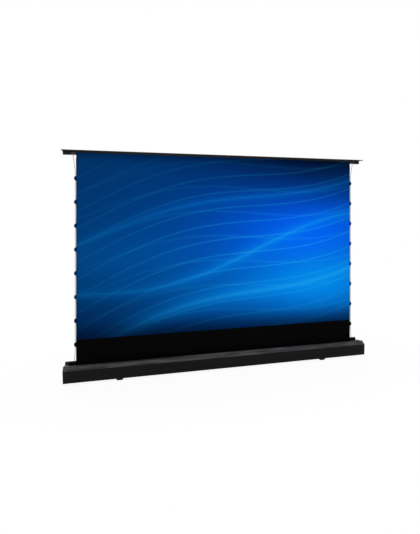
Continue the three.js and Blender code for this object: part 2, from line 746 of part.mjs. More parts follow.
// The cloth rises from the roller to the bar. Its edges bow in a little from tab to tab, and each
// tab is a welded pad with a bore for the cord.
function clothSheet() {
  const bottom = rollerZ + SEAT;
  const top = bodyTop - SEAT;
  const bowStart = bottom + tabPitch / 4;
  const tabPlaces = [];
  for (let i = 0; i < tabCount; i += 1) tabPlaces.push(lastTabZ + i * tabPitch);
  const sheet = new THREE.Shape();
  sheet.moveTo(-halfPicture, bottom);
  sheet.lineTo(halfPicture, bottom);
  let previous = bowStart;
  sheet.lineTo(halfPicture, bowStart);
  for (const place of [...tabPlaces, top - tabPitch / 4]) {
    sheet.quadraticCurveTo(halfPicture - 2 * EDGE_BOW, (previous + place) / 2, halfPicture, place);
    previous = place;
  }
  sheet.lineTo(halfPicture, top);
  sheet.lineTo(-halfPicture, top);
  previous = top - tabPitch / 4;
  sheet.lineTo(-halfPicture, previous);
  for (const place of [...tabPlaces.slice().reverse(), bowStart]) {
    sheet.quadraticCurveTo(-halfPicture + 2 * EDGE_BOW, (previous + place) / 2, -halfPicture, place);
    previous = place;
  }
  sheet.closePath();
  const half = CLOTH_THICKNESS / 2;
  const tabs = [];
  for (const { sign } of sides) {
    for (const place of tabPlaces) {
      const root = halfPicture - TAB_ROOT;
      const tip = halfPicture + TAB_REACH;
      const corners = [
        [root, place - TAB_BASE / 2],
        [halfPicture, place - TAB_BASE / 2, TAB_ROUNDING],
        [tip, place - TAB_TIP / 2, TAB_ROUNDING],
        [tip, place + TAB_TIP / 2, TAB_ROUNDING],
        [halfPicture, place + TAB_BASE / 2, TAB_ROUNDING],
        [root, place + TAB_BASE / 2],
      ];
      const pad = outline(corners.map(([x, z, rounding]) => [sign * x, z, rounding]));
      tabs.push(alongY(pad, -TAB_THICKNESS / 2, TAB_THICKNESS / 2, SMALL_CORNER_STEPS));
    }
  }
  const bores = sides.map(({ sign }) =>
    turnedZ(rod(CORD_RADIUS + CORD_BORE_GAP, lastTabZ - TAB_BASE, firstTabZ + TAB_BASE), CORD_SIDES)
      .translate(sign * cordX, 0, 0),
  );
  return cut(joined(alongY(sheet, -half, half), ...tabs), ...bores);
}

// A tension cord: out of its anchor on the bar, in to the line of the tabs, straight down through
// them, and out again to the end of the roller.
function tensionCord(sign) {
  const line = sign * cordX;
  const atAnchor = sign * anchorMiddleX;
  const atRoller = sign * (cordX + CORD_CASE_FLARE);
  const tabTop = firstTabZ + TAB_BASE / 2;
  const tabFoot = lastTabZ - TAB_BASE / 2;
  const route = [
    [atAnchor, anchorMiddleY, anchorBottom + CORD_IN_ANCHOR],
    [atAnchor, anchorMiddleY, anchorBottom],
    [atAnchor, anchorMiddleY, anchorBottom - CORD_STRAIGHT_LEAD],
    [line, 0, anchorBottom - CORD_FLARE_HEIGHT],
    [line, 0, tabTop + CORD_STRAIGHT_LEAD],
    [line, 0, tabTop - tabPitch],
    [line, 0, (tabTop + tabFoot) / 2],
    [line, 0, tabFoot + tabPitch],
    [line, 0, tabFoot],
    [line, 0, tabFoot - CORD_STRAIGHT_LEAD],
    [atRoller, 0, ledgeTop + CORD_STRAIGHT_LEAD],
    [atRoller, 0, ledgeTop - CORD_STRAIGHT_LEAD],
    [atRoller, 0, rollerZ + SEAT],
  ];
  const path = new THREE.CatmullRomCurve3(
    route.map(([x, y, z]) => new THREE.Vector3(x, y, z)),
    false,
    "centripetal",
  );
  const section = new THREE.Shape();
  for (let i = 0; i < CORD_SIDES; i += 1) {
    const angle = (2 * Math.PI * i) / CORD_SIDES;
    const place = [CORD_RADIUS * Math.cos(angle), CORD_RADIUS * Math.sin(angle)];
    if (i === 0) section.moveTo(...place);
    else section.lineTo(...place);
  }
  section.closePath();
  return new THREE.ExtrudeGeometry(section, { steps: CORD_STEPS, extrudePath: path, bevelEnabled: false });
}

// The eye at an arm's end, centred on its pivot, with a tongue that enters the arm's tube along +X.
function armEye(front, rear) {
  const shankEnd = ARM_TUBE_START - SEAT;
  const tongueEnd = ARM_TUBE_START + TONGUE_LENGTH;
  const inner = ARM_WALL + SEAT;
  const round = alongY(disc(0, 0, eyeRadius), front, rear, EYE_SIDES / 2);
  const shank = alongY(rectangle(0, shankEnd, -eyeRadius, eyeRadius), front, rear);
  const tongue = alongX(
    rectangle(front + inner, rear - inner, -eyeRadius + inner, eyeRadius - inner, ARM_CORNER / 2),
    shankEnd / 2,
    tongueEnd,
    SMALL_CORNER_STEPS,
  );
  const bore = turned(rod(PIN_RADIUS + PIN_GAP, front - OVERRUN, rear + OVERRUN), EYE_SIDES);
  return cut(joined(round, shank, tongue), bore);
}

function armTube(front, rear) {
  const section = rectangle(front, rear, -eyeRadius, eyeRadius, ARM_CORNER);
  section.holes.push(
    rectangle(front + ARM_WALL, rear - ARM_WALL, -eyeRadius + ARM_WALL, eyeRadius - ARM_WALL, ARM_CORNER / 2),
  );
  return alongX(section, ARM_TUBE_START, armLength - ARM_TUBE_START);
}

// Turns an eye round to sit at an arm's far end, front and rear faces as they were.
function atFarEnd(geometry, front, rear) {
  return geometry.rotateZ(Math.PI).translate(armLength, front + rear, 0);
}

// A pivot pin with a head at its rear, from one face to another along Y.
function pivotPin(front, rear) {
  return turned(
    [
      [0, front],
      [PIN_RADIUS, front],
      [PIN_RADIUS, rear],
      [PIN_HEAD_RADIUS, rear],
      [PIN_HEAD_RADIUS, rear + PIN_HEAD_LENGTH],
      [0, rear + PIN_HEAD_LENGTH],
    ],
    EYE_SIDES,
  );
}

// A bent fork that holds an eye between two cheeks. Its pivot is at the origin and its plate is
// at plateZ, above the pivot or below it.
function pivotFork(eyeFront, eyeRear, plateNear, plateFar) {
  const front = eyeFront - SEAT - CHEEK_THICKNESS;
  const rear = eyeRear + SEAT + CHEEK_THICKNESS;
  const tip = -Math.sign(plateFar) * eyeRadius;
  const low = Math.min(tip, plateFar);
  const high = Math.max(tip, plateFar);
  const block = alongX(rectangle(front, rear, low, high), -FORK_HALF_WIDTH, FORK_HALF_WIDTH);
  const gapEnds = [tip - Math.sign(plateFar) * OVERRUN, plateNear];
  const gap = alongX(
    rectangle(front + CHEEK_THICKNESS, rear - CHEEK_THICKNESS, Math.min(...gapEnds), Math.max(...gapEnds)),
    -FORK_HALF_WIDTH - OVERRUN,
    FORK_HALF_WIDTH + OVERRUN,
  );
  const face = outline([
    [-FORK_HALF_WIDTH, plateFar],
    [FORK_HALF_WIDTH, plateFar],
    [FORK_HALF_WIDTH, plateNear],
    [eyeRadius, 0, eyeRadius / 2],
    [eyeRadius, tip, eyeRadius],
    [-eyeRadius, tip, eyeRadius],
    [-eyeRadius, 0, eyeRadius / 2],
    [-FORK_HALF_WIDTH, plateNear],
  ]);
  const trimmed = common(cut(block, gap), alongY(face, front - OVERRUN, rear + OVERRUN, CHEEK_STEPS));
  const bore = turned(rod(PIN_RADIUS + PIN_GAP, front - OVERRUN, rear + OVERRUN), EYE_SIDES);
  return cut(trimmed, bore);
}

function kneeArm({ side, sign }) {
  const lower = new THREE.Group();
  lower.position.set(sign * shoulderX, 0, shoulderZ);
  lower.rotation.y = sign < 0 ? -raisedAngle : raisedAngle - Math.PI;
  const upper = new THREE.Group();
  upper.position.set(sign * elbowX, 0, elbowZ);
  upper.rotation.y = sign < 0 ? raisedAngle - Math.PI : -raisedAngle;
  screen.add(lower, upper);

  add(`lower_arm_tube_${side}`, armTube(lowerArmFront, lowerArmRear), finishes.armPaint, lower);
  add(`shoulder_eye_${side}`, armEye(lowerArmFront, lowerArmRear), finishes.forkSteel, lower);
  add(
    `lower_elbow_eye_${side}`,
    atFarEnd(armEye(lowerArmFront, lowerArmRear), lowerArmFront, lowerArmRear),
    finishes.forkSteel,
    lower,
  );
  const springStart = ARM_TUBE_START + TONGUE_LENGTH + SEAT;
  const springEnd = springStart + SPRING_LENGTH;
  const springWall = ring(SPRING_RADIUS - SPRING_WIRE, SPRING_RADIUS, springStart, springEnd);
  const spring = turnedX(springWall, SPRING_SIDES);
  add(
    `lift_spring_${side}`,
    spring.translate(0, (lowerArmFront + lowerArmRear) / 2, 0),
    finishes.pinSteel,
    lower,
  );
  add(
    `elbow_pin_${side}`,
    pivotPin(UPPER_ARM_FRONT - PIN_HEAD_LENGTH, lowerArmRear + SEAT).translate(armLength, 0, 0),
    finishes.pinSteel,
    lower,
  );
  add(
    `elbow_spacer_${side}`,
    turned(ring(PIN_RADIUS + PIN_GAP, SPACER_RADIUS, upperArmRear + SEAT, lowerArmFront - SEAT), EYE_SIDES)
      .translate(armLength, 0, 0),
    finishes.wheelPlastic,
    lower,
  );

  add(`upper_arm_tube_${side}`, armTube(UPPER_ARM_FRONT, upperArmRear), finishes.armPaint, upper);
  add(`upper_elbow_eye_${side}`, armEye(UPPER_ARM_FRONT, upperArmRear), finishes.forkSteel, upper);
  add(
    `top_eye_${side}`,
    atFarEnd(armEye(UPPER_ARM_FRONT, upperArmRear), UPPER_ARM_FRONT, upperArmRear),
    finishes.forkSteel,
    upper,
  );

  const floorNear = -shoulderHeight + CASE_WALL + SEAT + FORK_PLATE;
  const shoulderFork = pivotFork(lowerArmFront, lowerArmRear, floorNear, floorNear - FORK_PLATE);
  add(`shoulder_fork_${side}`, shoulderFork.translate(sign * shoulderX, 0, shoulderZ), finishes.forkSteel);
  const cheekReach = SEAT + CHEEK_THICKNESS;
  const shoulderPin = pivotPin(lowerArmFront - cheekReach, lowerArmRear + cheekReach + SEAT);
  add(`shoulder_pin_${side}`, shoulderPin.translate(sign * shoulderX, 0, shoulderZ), finishes.pinSteel);

  const topFork = pivotFork(UPPER_ARM_FRONT, upperArmRear, topPivotDrop - FORK_PLATE, topPivotDrop);
  add(`top_fork_${side}`, topFork.translate(sign * shoulderX, 0, topPivotZ), finishes.forkSteel);
  const topPin = pivotPin(UPPER_ARM_FRONT - cheekReach, upperArmRear + cheekReach + SEAT);
  add(`top_pin_${side}`, topPin.translate(sign * shoulderX, 0, topPivotZ), finishes.pinSteel);
}

function topBar() {
  const half = BAR_LENGTH / 2;
  const lidFront = -CREST_REAR + LID_TO_CREST;
  const lidRear = backInside - LID_TO_RIM;
  const lipFront = lidFront + LID_LIP;
  const lipRear = lidRear - LID_LIP;
  const lid = outline([
    [lidFront, lidEdge],
    [lipFront, lidEdge],
    [lipFront, lidSkinUnder],
    [lipRear, lidSkinUnder],
    [lipRear, lidEdge],
    [lidRear, lidEdge],
    [lidRear, lidTop, LID_ROUNDING],
    [lidFront, lidTop, LID_ROUNDING],
  ]);
  add("lid_plate", alongX(lid, -half, half), finishes.barPaint);

  const section = rectangle(bodyFront, bodyRear, bodyBottom, bodyTop, BAR_BODY_CORNER);
  section.holes.push(
    rectangle(
      bodyFront + BAR_BODY_WALL,
      bodyRear - BAR_BODY_WALL,
      bodyBottom + BAR_BODY_WALL,
      bodyTop - BAR_BODY_WALL,
      BAR_BODY_CORNER / 2,
    ),
  );
  add("bar_body", alongX(section, -bodyHalf, bodyHalf), finishes.barPaint);

  const inset = BAR_BODY_WALL + SEAT;
  for (const { side, sign } of sides) {
    const endStart = bodyHalf + SEAT;
    const block = alongZ(
      rectangle(
        ...mirroredRange(sign, endStart, half - BAR_END_SETBACK),
        bodyFront,
        bodyRear,
        BAR_END_ROUNDING,
      ),
      bodyBottom,
      bodyTop,
    );
    const plug = alongX(
      rectangle(bodyFront + inset, bodyRear - inset, bodyBottom + inset, bodyTop - inset),
      ...mirroredRange(sign, bodyHalf - BAR_END_PLUG, endStart + BAR_END_PLUG),
    );
    add(`bar_end_${side}`, joined(block, plug), finishes.barPlastic);

    const anchorTop = anchorBottom + ANCHOR_DROP;
    const anchor = alongX(
      outline([
        [anchorRear, anchorBottom],
        [anchorRear, anchorTop],
        [anchorRear - ANCHOR_DEPTH, anchorTop, ANCHOR_ROUNDING],
        [anchorRear - ANCHOR_DEPTH, anchorBottom + ANCHOR_ROUNDING * 2, ANCHOR_ROUNDING],
        [anchorRear - ANCHOR_DEPTH + ANCHOR_ROUNDING, anchorBottom, ANCHOR_ROUNDING],
      ]),
      ...mirroredRange(sign, anchorStart, anchorStart + ANCHOR_WIDTH),
    );
    const bore = turnedZ(
      rod(CORD_RADIUS + CORD_BORE_GAP, anchorBottom - OVERRUN, anchorBottom + ANCHOR_BORE_DEPTH),
      CORD_SIDES * 2,
    ).translate(sign * anchorMiddleX, anchorMiddleY, 0);
    add(`cord_anchor_${side}`, cut(anchor, bore), finishes.anchorPlastic);
  }

  const clampRear = -CLOTH_THICKNESS / 2 - SEAT;
  const clamp = rectangle(clampRear - CLAMP_THICKNESS, clampRear, pictureTop, bodyTop);
  add("cloth_clamp", alongX(clamp, -halfPicture, halfPicture), finishes.barPaint);
}

// A swivelling foot: a low tapered bar under the case whose long tail reaches out behind,
// a rubber pad under it, and the bolt that it turns on.
function foot({ side, sign }) {
  const middle = (sign * FOOT_SPACING) / 2;
  const top = footBottom + FOOT_HEIGHT;
  const halfWidth = FOOT_WIDTH / 2;
  const plan = rectangle(-halfWidth, halfWidth, footNose, footTail, FOOT_ROUNDING);
  const taper = outline([
    [-FOOT_TIP_WIDTH / 2, footBottom],
    [FOOT_TIP_WIDTH / 2, footBottom],
    [halfWidth, top],
    [-halfWidth, top],
  ]);
  const body = common(
    alongZ(plan, footBottom, top),
    alongY(taper, footNose - OVERRUN, footTail + OVERRUN),
  );
  const headTop = footBottom + FOOT_BOLT_HEAD;
  const boltHole = turnedZ(rod(FOOT_BOLT_RADIUS + SEAT, footBottom - OVERRUN, top + OVERRUN));
  const headHole = turnedZ(rod(FOOT_BOLT_HEAD_RADIUS + SEAT, footBottom - OVERRUN, headTop + SEAT));
  boltHole.translate(0, FOOT_PIVOT_BACK, 0);
  headHole.translate(0, FOOT_PIVOT_BACK, 0);
  add(`foot_${side}`, cut(body, boltHole, headHole).translate(middle, 0, 0), finishes.footPaint);

  const padHalf = FOOT_TIP_WIDTH / 2 - PAD_INSET;
  const pad = rectangle(-padHalf, padHalf, footNose + PAD_INSET, footTail - PAD_INSET, FOOT_ROUNDING);
  pad.holes.push(disc(0, FOOT_PIVOT_BACK, FOOT_BOLT_HEAD_RADIUS + SEAT));
  const padSolid = alongZ(pad, 0, PAD_HEIGHT, CORNER_STEPS * 2);
  add(`foot_pad_${side}`, padSolid.translate(middle, 0, 0), finishes.rubber);

  const floor = caseBottom + CASE_WALL;
  const bolt = turnedZ([
    [0, footBottom],
    [FOOT_BOLT_HEAD_RADIUS, footBottom],
    [FOOT_BOLT_HEAD_RADIUS, headTop],
    [FOOT_BOLT_RADIUS, headTop],
    [FOOT_BOLT_RADIUS, floor + SEAT],
    [FOOT_BOLT_HEAD_RADIUS, floor + SEAT],
    [FOOT_BOLT_HEAD_RADIUS, floor + SEAT + FOOT_NUT_HEIGHT],
    [0, floor + SEAT + FOOT_NUT_HEIGHT],
  ]);
  add(`foot_bolt_${side}`, bolt.translate(middle, FOOT_PIVOT_BACK, 0), finishes.pinSteel);
}

add("case_front", caseFront(), finishes.coverPaint);
add("case_base", caseBase(), finishes.basePaint);
add("case_back", caseBack(), finishes.basePaint);
add("end_cap_left", endCap(-1), finishes.capPlastic);
add("end_cap_right", endCap(1), finishes.capPlastic);
rollerAssembly();
electrics();
add("screen_cloth", clothSheet(), finishes.cloth);
add("tension_cord_left", tensionCord(-1), finishes.cord);
add("tension_cord_right", tensionCord(1), finishes.cord);
topBar();
sides.forEach(kneeArm);
sides.forEach(foot);

// The origin goes to the middle of the footprint, from the front cover to the tails of the feet.
screen.position.set(0, (frontDepth - footTail) / 2, 0);

export default screen;
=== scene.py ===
"""Looks of a floor-rising projection screen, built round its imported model.

Everything is in metres and in the model's own frame: +X along the case to the viewer's right, +Z up,
and the picture faces -Y. Each sub-assembly is a class that models its pieces and dresses them.
"""

import logging
import math
from collections.abc import Callable, Iterable, Sequence
from dataclasses import dataclass
from enum import Enum
from typing import ClassVar

import bmesh
import bpy
import numpy as np
from mathutils import Matrix, Vector


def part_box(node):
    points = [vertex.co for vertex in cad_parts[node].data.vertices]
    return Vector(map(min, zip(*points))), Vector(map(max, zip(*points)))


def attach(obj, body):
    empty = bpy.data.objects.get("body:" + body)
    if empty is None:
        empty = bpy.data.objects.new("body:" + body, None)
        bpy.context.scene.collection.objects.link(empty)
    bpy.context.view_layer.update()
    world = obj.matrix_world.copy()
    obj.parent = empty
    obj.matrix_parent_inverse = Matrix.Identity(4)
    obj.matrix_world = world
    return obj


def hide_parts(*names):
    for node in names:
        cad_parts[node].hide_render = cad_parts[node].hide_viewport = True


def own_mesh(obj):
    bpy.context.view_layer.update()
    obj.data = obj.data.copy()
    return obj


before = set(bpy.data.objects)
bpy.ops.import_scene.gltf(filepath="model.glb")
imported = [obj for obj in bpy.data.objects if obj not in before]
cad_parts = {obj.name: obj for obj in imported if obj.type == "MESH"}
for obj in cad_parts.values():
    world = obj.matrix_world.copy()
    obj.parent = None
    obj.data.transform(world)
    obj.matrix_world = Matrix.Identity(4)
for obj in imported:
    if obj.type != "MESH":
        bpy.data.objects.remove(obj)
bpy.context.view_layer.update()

log = logging.getLogger("screen")

Piece = bpy.types.Object
Point = Sequence[float]
Pair = tuple[float, float]
Triple = tuple[float, float, float]
Colour = Triple

MM = 0.001
OVERRUN = 1 * MM
NEAR = 0.01 * MM
MERGE_REACH = 0.002 * MM
FLAT_ANGLE = 0.6
CLOTH_PLANE = -20 * MM
CLOTH_HALF = 1.107
CLOTH_THICKNESS = 0.8 * MM
CORD_RADIUS = 1.5 * MM
LIFT_LINE = 1615.5 * MM
PIN_KEY = 6 * MM
PIN_KEY_DEPTH = 2.5 * MM
THIN_EDGE = 0.3 * MM
EDGE = 0.4 * MM
SOFT_EDGE = 0.5 * MM
WIDE_EDGE = 0.6 * MM
SHARP_ANGLE = 35
UV_MAP = "map"
EDGE_ATTRIBUTE = "edge"
TOP_ATTRIBUTE = "top"
REAR_ATTRIBUTE = "rear"


class Side(Enum):
    """The two ends of the screen, as seen from the front."""

    LEFT = -1
    RIGHT = 1

    @property
    def word(self) -> str:
        """The side's name, as it stands in the names of pieces."""
        return self.name.lower()


def linear(colour: Colour) -> Colour:
    """Turns a colour as a picture editor shows it, from 0 to 255, into the values that a shader takes."""
    shares = [channel / 255 for channel in colour]
    return tuple(s / 12.92 if s <= 0.04045 else ((s + 0.055) / 1.055) ** 2.4 for s in shares)


def maths(operation: str, flipped: bool = False) -> Callable[..., "Signal"]:
    """Makes a method that adds one Math node.

    Args:
        operation: The node's operation.
        flipped: Whether the signal comes last, as in the reflected form of an operator.

    Returns:
        The method, which takes the node's other values.
    """

    def method(signal: "Signal", *others: "Signal | float") -> "Signal":
        """Adds the node on the signal and the other values."""
        values = (*others, signal) if flipped else (signal, *others)
        return signal.graph.node("ShaderNodeMath", {"operation": operation}, dict(enumerate(values)))

    return method


class Signal:
    """A socket of a material's nodes that can be used in a sum, as a number can."""

    __add__ = __radd__ = maths("ADD")
    __sub__ = maths("SUBTRACT")
    __rsub__ = maths("SUBTRACT", flipped=True)
    __mul__ = __rmul__ = maths("MULTIPLY")
    __truediv__ = maths("DIVIDE")
    __rtruediv__ = maths("DIVIDE", flipped=True)
    __pow__ = maths("POWER")
    above = maths("GREATER_THAN")
    highest = maths("MAXIMUM")
    size = maths("ABSOLUTE")
    sine = maths("SINE")
    fraction = maths("FRACT")

    def __init__(self, graph: "Graph", socket: bpy.types.NodeSocket) -> None:
        """Keeps the socket and the graph that it belongs to."""
        self.graph = graph
        self.socket = socket

    def swing(self, amount: float) -> "Signal":
        """What noise about 0.5 adds where it may change a value by half an amount, up or down."""
        return amount * (self - 0.5)

    def ramp(self, low: float, high: float) -> "Signal":
        """Rises smoothly from 0 at low to 1 at high."""
        settings = {"interpolation_type": "SMOOTHSTEP"}
        return self.graph.node("ShaderNodeMapRange", settings, {"Value": self, 1: low, 2: high})


class Graph:
    """The nodes of one material, or of the world."""

    def __init__(self, holder: bpy.types.Material | bpy.types.World) -> None:
        """Starts with no nodes."""
        holder.use_nodes = True
        self.holder = holder
        self.tree = holder.node_tree
        self.tree.nodes.clear()

    @classmethod
    def of_material(cls, name: str) -> "Graph":
        """Starts an empty material."""
        return cls(bpy.data.materials.new(name))

    def node(
        self,
        kind: str,
        settings: dict[str, object] | None = None,
        inputs: dict[int | str, object] | None = None,
        output: int | str = 0,
    ) -> Signal:
        """Adds any node.

        Args:
            kind: The node's type.
            settings: The node's own settings, set first.
            inputs: A value or a signal for each socket, by name or number.
            output: The socket to hand back.

        Returns:
            The chosen output.
        """
        node = self.tree.nodes.new(kind)
        for key, value in (settings or {}).items():
            setattr(node, key, value)
        for key, value in (inputs or {}).items():
            socket = node.inputs[key]
            if isinstance(value, Signal):
                self.tree.links.new(value.socket, socket)
            elif socket.type == "RGBA":
                socket.default_value = (*value[:3], 1)
            else:
                socket.default_value = value
        return Signal(self, node.outputs[output] if node.outputs else None)

    def place(self) -> Signal:
        """The point in the model's own frame, which moves with the piece."""
        return self.node("ShaderNodeTexCoord", output="Object")

    def part(self, vector: Signal, axis: int) -> Signal:
        """How far a vector reaches along one axis."""
        return self.node("ShaderNodeSeparateXYZ", inputs={0: vector}, output=axis)

    def uv(self) -> tuple[Signal, Signal]:
        """Across and along, from the piece's own UV map."""
        flat = self.node("ShaderNodeUVMap", {"uv_map": UV_MAP})
        return self.part(flat, 0), self.part(flat, 1)

    def noise(self, vector: Signal, scale: float, detail: float = 3.0) -> Signal:
        """Soft noise about 0.5, with features of about 1 / scale metres."""
        inputs = {"Vector": vector, "Scale": scale, "Detail": detail}
        return self.node("ShaderNodeTexNoise", inputs=inputs)

    def streaks(self, scale: Point, detail: float = 3.0) -> Signal:
        """Soft noise with a scale of its own along each axis, so that it can run lengthwise."""
        stretched = self.node("ShaderNodeMapping", inputs={"Vector": self.place(), "Scale": scale})
        return self.noise(stretched, 1.0, detail)

    def woven(self, scale: float) -> Signal:
        """A fine plain weave under a coating, from two crossing sets of threads."""
        place = self.place()
        warp, weft = ((self.part(place, axis) * (scale * math.pi)).sine() for axis in (0, 2))
        return 0.5 * (warp * weft) + self.noise(place, scale * 0.8, 2.0)

    def mix(self, share: Signal | float, first: object, second: object) -> Signal:
        """Mixes two colours."""
        return self.node("ShaderNodeMix", {"data_type": "RGBA"}, {0: share, 6: first, 7: second}, 2)

    def attribute(self, name: str) -> Signal:
        """A number that the mesh holds, or 0 where it holds none."""
        return self.node("ShaderNodeAttribute", {"attribute_name": name}, output="Fac")


@dataclass(frozen=True)
class Finish:
    """A surface: the names of its material and of the record's slot for it, its colour and its shine."""

    relief: ClassVar[float] = 0.02 * MM
    metallic: ClassVar[float] = 0.0

    name: str
    slot: str
    colour: Colour
    roughness: float
    gloss: float

    def tone(self, step: float = 0) -> Colour:
        """The colour as a shader takes it, lighter by a step on a picture editor's scale."""
        return linear(tuple(channel + step for channel in self.colour))

    def paint(self, graph: Graph) -> tuple[Signal, Signal, Signal]:
        """Paints the surface.

        Args:
            graph: The material's nodes.

        Returns:
            Its colour, its roughness, and the height of its fine relief from 0 to about 1.
        """
        raise NotImplementedError

    def material(self) -> bpy.types.Material:
        """Makes the material."""
        graph = Graph.of_material(self.name)
        colour, roughness, height = self.paint(graph)
        bump = {"Strength": 1.0, "Distance": self.relief, "Height": height}
        sockets = {
            "Base Color": colour,
            "Roughness": roughness,
            "Metallic": self.metallic,
            "Specular IOR Level": self.gloss,
            "Normal": graph.node("ShaderNodeBump", inputs=bump),
        }
        shader = graph.node("ShaderNodeBsdfPrincipled", inputs=sockets)
        graph.node("ShaderNodeOutputMaterial", inputs={"Surface": shader})
        return graph.holder


@dataclass(frozen=True)
class CoatedExtrusion(Finish):
    """Black coated aluminium, with the fine lines that its die left along it."""

    streak_step: float
    # steps by which the painted highlight lightens faces that look up
    top_highlight_step: float = 0.0
    worn: Colour = (78, 79, 82)
    streak_scale: Triple = (1.1, 130.0, 130.0)
    # size of the patches in the painted highlight on faces that look up
    highlight_patch_scale: Triple = (5.0, 32.5, 32.5)
    line_scale: Triple = (3.0, 900.0, 900.0)
    dust_scale: float = 900.0

    def paint(self, graph: Graph) -> tuple[Signal, Signal, Signal]:
        """Streaks along the profile, a painted highlight in streaks and patches on faces that look up, and
        rubbed edges.
        """
        streaks = graph.streaks(self.streak_scale)
        patches = graph.streaks(self.highlight_patch_scale)
        dust = graph.noise(graph.place(), self.dust_scale, 2.0)
        colour = graph.mix(streaks.ramp(0.35, 0.75), self.tone(), self.tone(self.streak_step))
        # painted highlight: faces that look up are lightened in streaks and patches, as the lamp overhead
        # would light them
        bright = 0.15 + 0.45 * streaks.ramp(0.3, 0.7) + 0.4 * patches.ramp(0.42, 0.62)
        top = graph.attribute(TOP_ATTRIBUTE) * bright
        colour = graph.mix(top, colour, self.tone(self.streak_step + self.top_highlight_step))
        rubbed = graph.attribute(EDGE_ATTRIBUTE) * (0.25 + 0.5 * dust)
        colour = graph.mix(rubbed, colour, linear(self.worn))
        roughness = self.roughness + streaks.swing(0.16) + dust.swing(0.06)
        return colour, roughness, graph.streaks(self.line_scale, 2.0) + 0.35 * dust


@dataclass(frozen=True)
class MouldedPlastic(Finish):
    """Spark-eroded moulded plastic, pebbled all over and rubbed a little smoother at its edges."""

    relief: ClassVar[float] = 0.05 * MM

    # steps by which the painted highlight lightens faces that look up
    top_highlight_step: float = 0.0
    cloud_step: float = 14
    rubbed_step: float = 34
    cloud_scale: float = 26.0
    pebble_scale: float = 1300.0

    def paint(self, graph: Graph) -> tuple[Signal, Signal, Signal]:
        """Faint clouds, a painted highlight on faces that look up, and rubbed edges over the pebbles of the
        mould.
        """
        place = graph.place()
        cloud = graph.noise(place, self.cloud_scale)
        colour = graph.mix(cloud.ramp(0.3, 0.8) * 0.6, self.tone(), self.tone(self.cloud_step))
        # painted highlight: faces that look up are lighter, as light from above would make them
        lighter_tone = self.tone(self.cloud_step + self.top_highlight_step)
        colour = graph.mix(graph.attribute(TOP_ATTRIBUTE), colour, lighter_tone)
        edge = graph.attribute(EDGE_ATTRIBUTE)
        colour = graph.mix(edge * 0.35, colour, self.tone(self.rubbed_step))
        pebbles = graph.node("ShaderNodeTexVoronoi", inputs={"Vector": place, "Scale": self.pebble_scale})
        return colour, self.roughness + cloud.swing(0.12) - 0.08 * edge, pebbles


@dataclass(frozen=True)
class PowderCoat(Finish):
    """Baked powder coat with its slight orange peel."""

    relief: ClassVar[float] = 0.06 * MM

    cloud_step: float = 12
    chipped: Colour = (96, 96, 98)
    peel_scale: float = 420.0
    cloud_scale: float = 9.0
    chip_scale: float = 180.0

    def paint(self, graph: Graph) -> tuple[Signal, Signal, Signal]:
        """Faint clouds, with chips along the edges."""
        place = graph.place()
        peel = graph.noise(place, self.peel_scale, 1.5)
        cloud = graph.noise(place, self.cloud_scale)
        chips = graph.attribute(EDGE_ATTRIBUTE) * graph.noise(place, self.chip_scale).ramp(0.5, 0.72)
        colour = graph.mix(cloud.ramp(0.3, 0.8) * 0.5, self.tone(), self.tone(self.cloud_step))
        colour = graph.mix(chips * 0.5, colour, linear(self.chipped))
        return colour, self.roughness + cloud.swing(0.1) + peel.swing(0.05), peel


@dataclass(frozen=True)
class Metal(Finish):
    """Bare or plated metal, with the marks of how it was drawn, turned or pressed."""

    relief: ClassVar[float] = 0.01 * MM
    metallic: ClassVar[float] = 1.0

    tarnish: Colour
    mark_scale: Triple
    cloud_scale: float = 60.0

    def paint(self, graph: Graph) -> tuple[Signal, Signal, Signal]:
        """Tarnish in clouds over fine marks."""
        marks = graph.streaks(self.mark_scale, 2.0)
        cloud = graph.noise(graph.place(), self.cloud_scale)
        colour = graph.mix(cloud.ramp(0.35, 0.8) * 0.5, self.tone(), linear(self.tarnish))
        return colour, self.roughness + marks.swing(0.2) + cloud.swing(0.1), marks


@dataclass(frozen=True)
class Rubber(Finish):
    """Moulded black rubber, dusty in patches, with ribs across it."""

    relief: ClassVar[float] = 0.5 * MM

    # the colour of the dust
    lighter_tone: Colour = (44, 43, 41)
    dust_scale: float = 140.0
    rib_pitch: float = 4 * MM

    def paint(self, graph: Graph) -> tuple[Signal, Signal, Signal]:
        """Patches of dust over even ribs."""
        place = graph.place()
        ribs = (graph.part(place, 1) * (2 * math.pi / self.rib_pitch)).sine()
        dust = graph.noise(place, self.dust_scale)
        colour = graph.mix(dust.ramp(0.45, 0.75) * 0.5, self.tone(), linear(self.lighter_tone))
        return colour, self.roughness + dust.swing(0.2), ribs.ramp(-0.2, 0.6) * 0.4 + 0.2 * dust


@dataclass(frozen=True)
class BraidedCord(Finish):
    """Braided polyester cord. The braid follows the cord by its UV map."""

    relief: ClassVar[float] = 0.12 * MM

    crown_highlight_step: float = 16
    strands: int = 4
    crossings: float = 420.0
    fuzz_scale: float = 2400.0

    def paint(self, graph: Graph) -> tuple[Signal, Signal, Signal]:
        """Two sets of strands that wind round the cord in opposite ways, with painted shade in the grooves
        between them and a painted highlight on their crowns.
        """
        across, along = graph.uv()
        turn = across * (2 * math.pi * self.strands)
        climb = along * (2 * math.pi * self.crossings)
        braid = (turn + climb).sine().highest((turn - climb).sine())
        fuzz = graph.noise(graph.place(), self.fuzz_scale, 2.0)
        # painted shade and highlight: the colour follows the braid's relief, darker in its grooves and
        # lighter on its crowns
        colour = graph.mix(braid.ramp(-0.2, 1.0), self.tone(), self.tone(self.crown_highlight_step))
        return colour, self.roughness + fuzz.swing(0.2), braid + 0.3 * fuzz


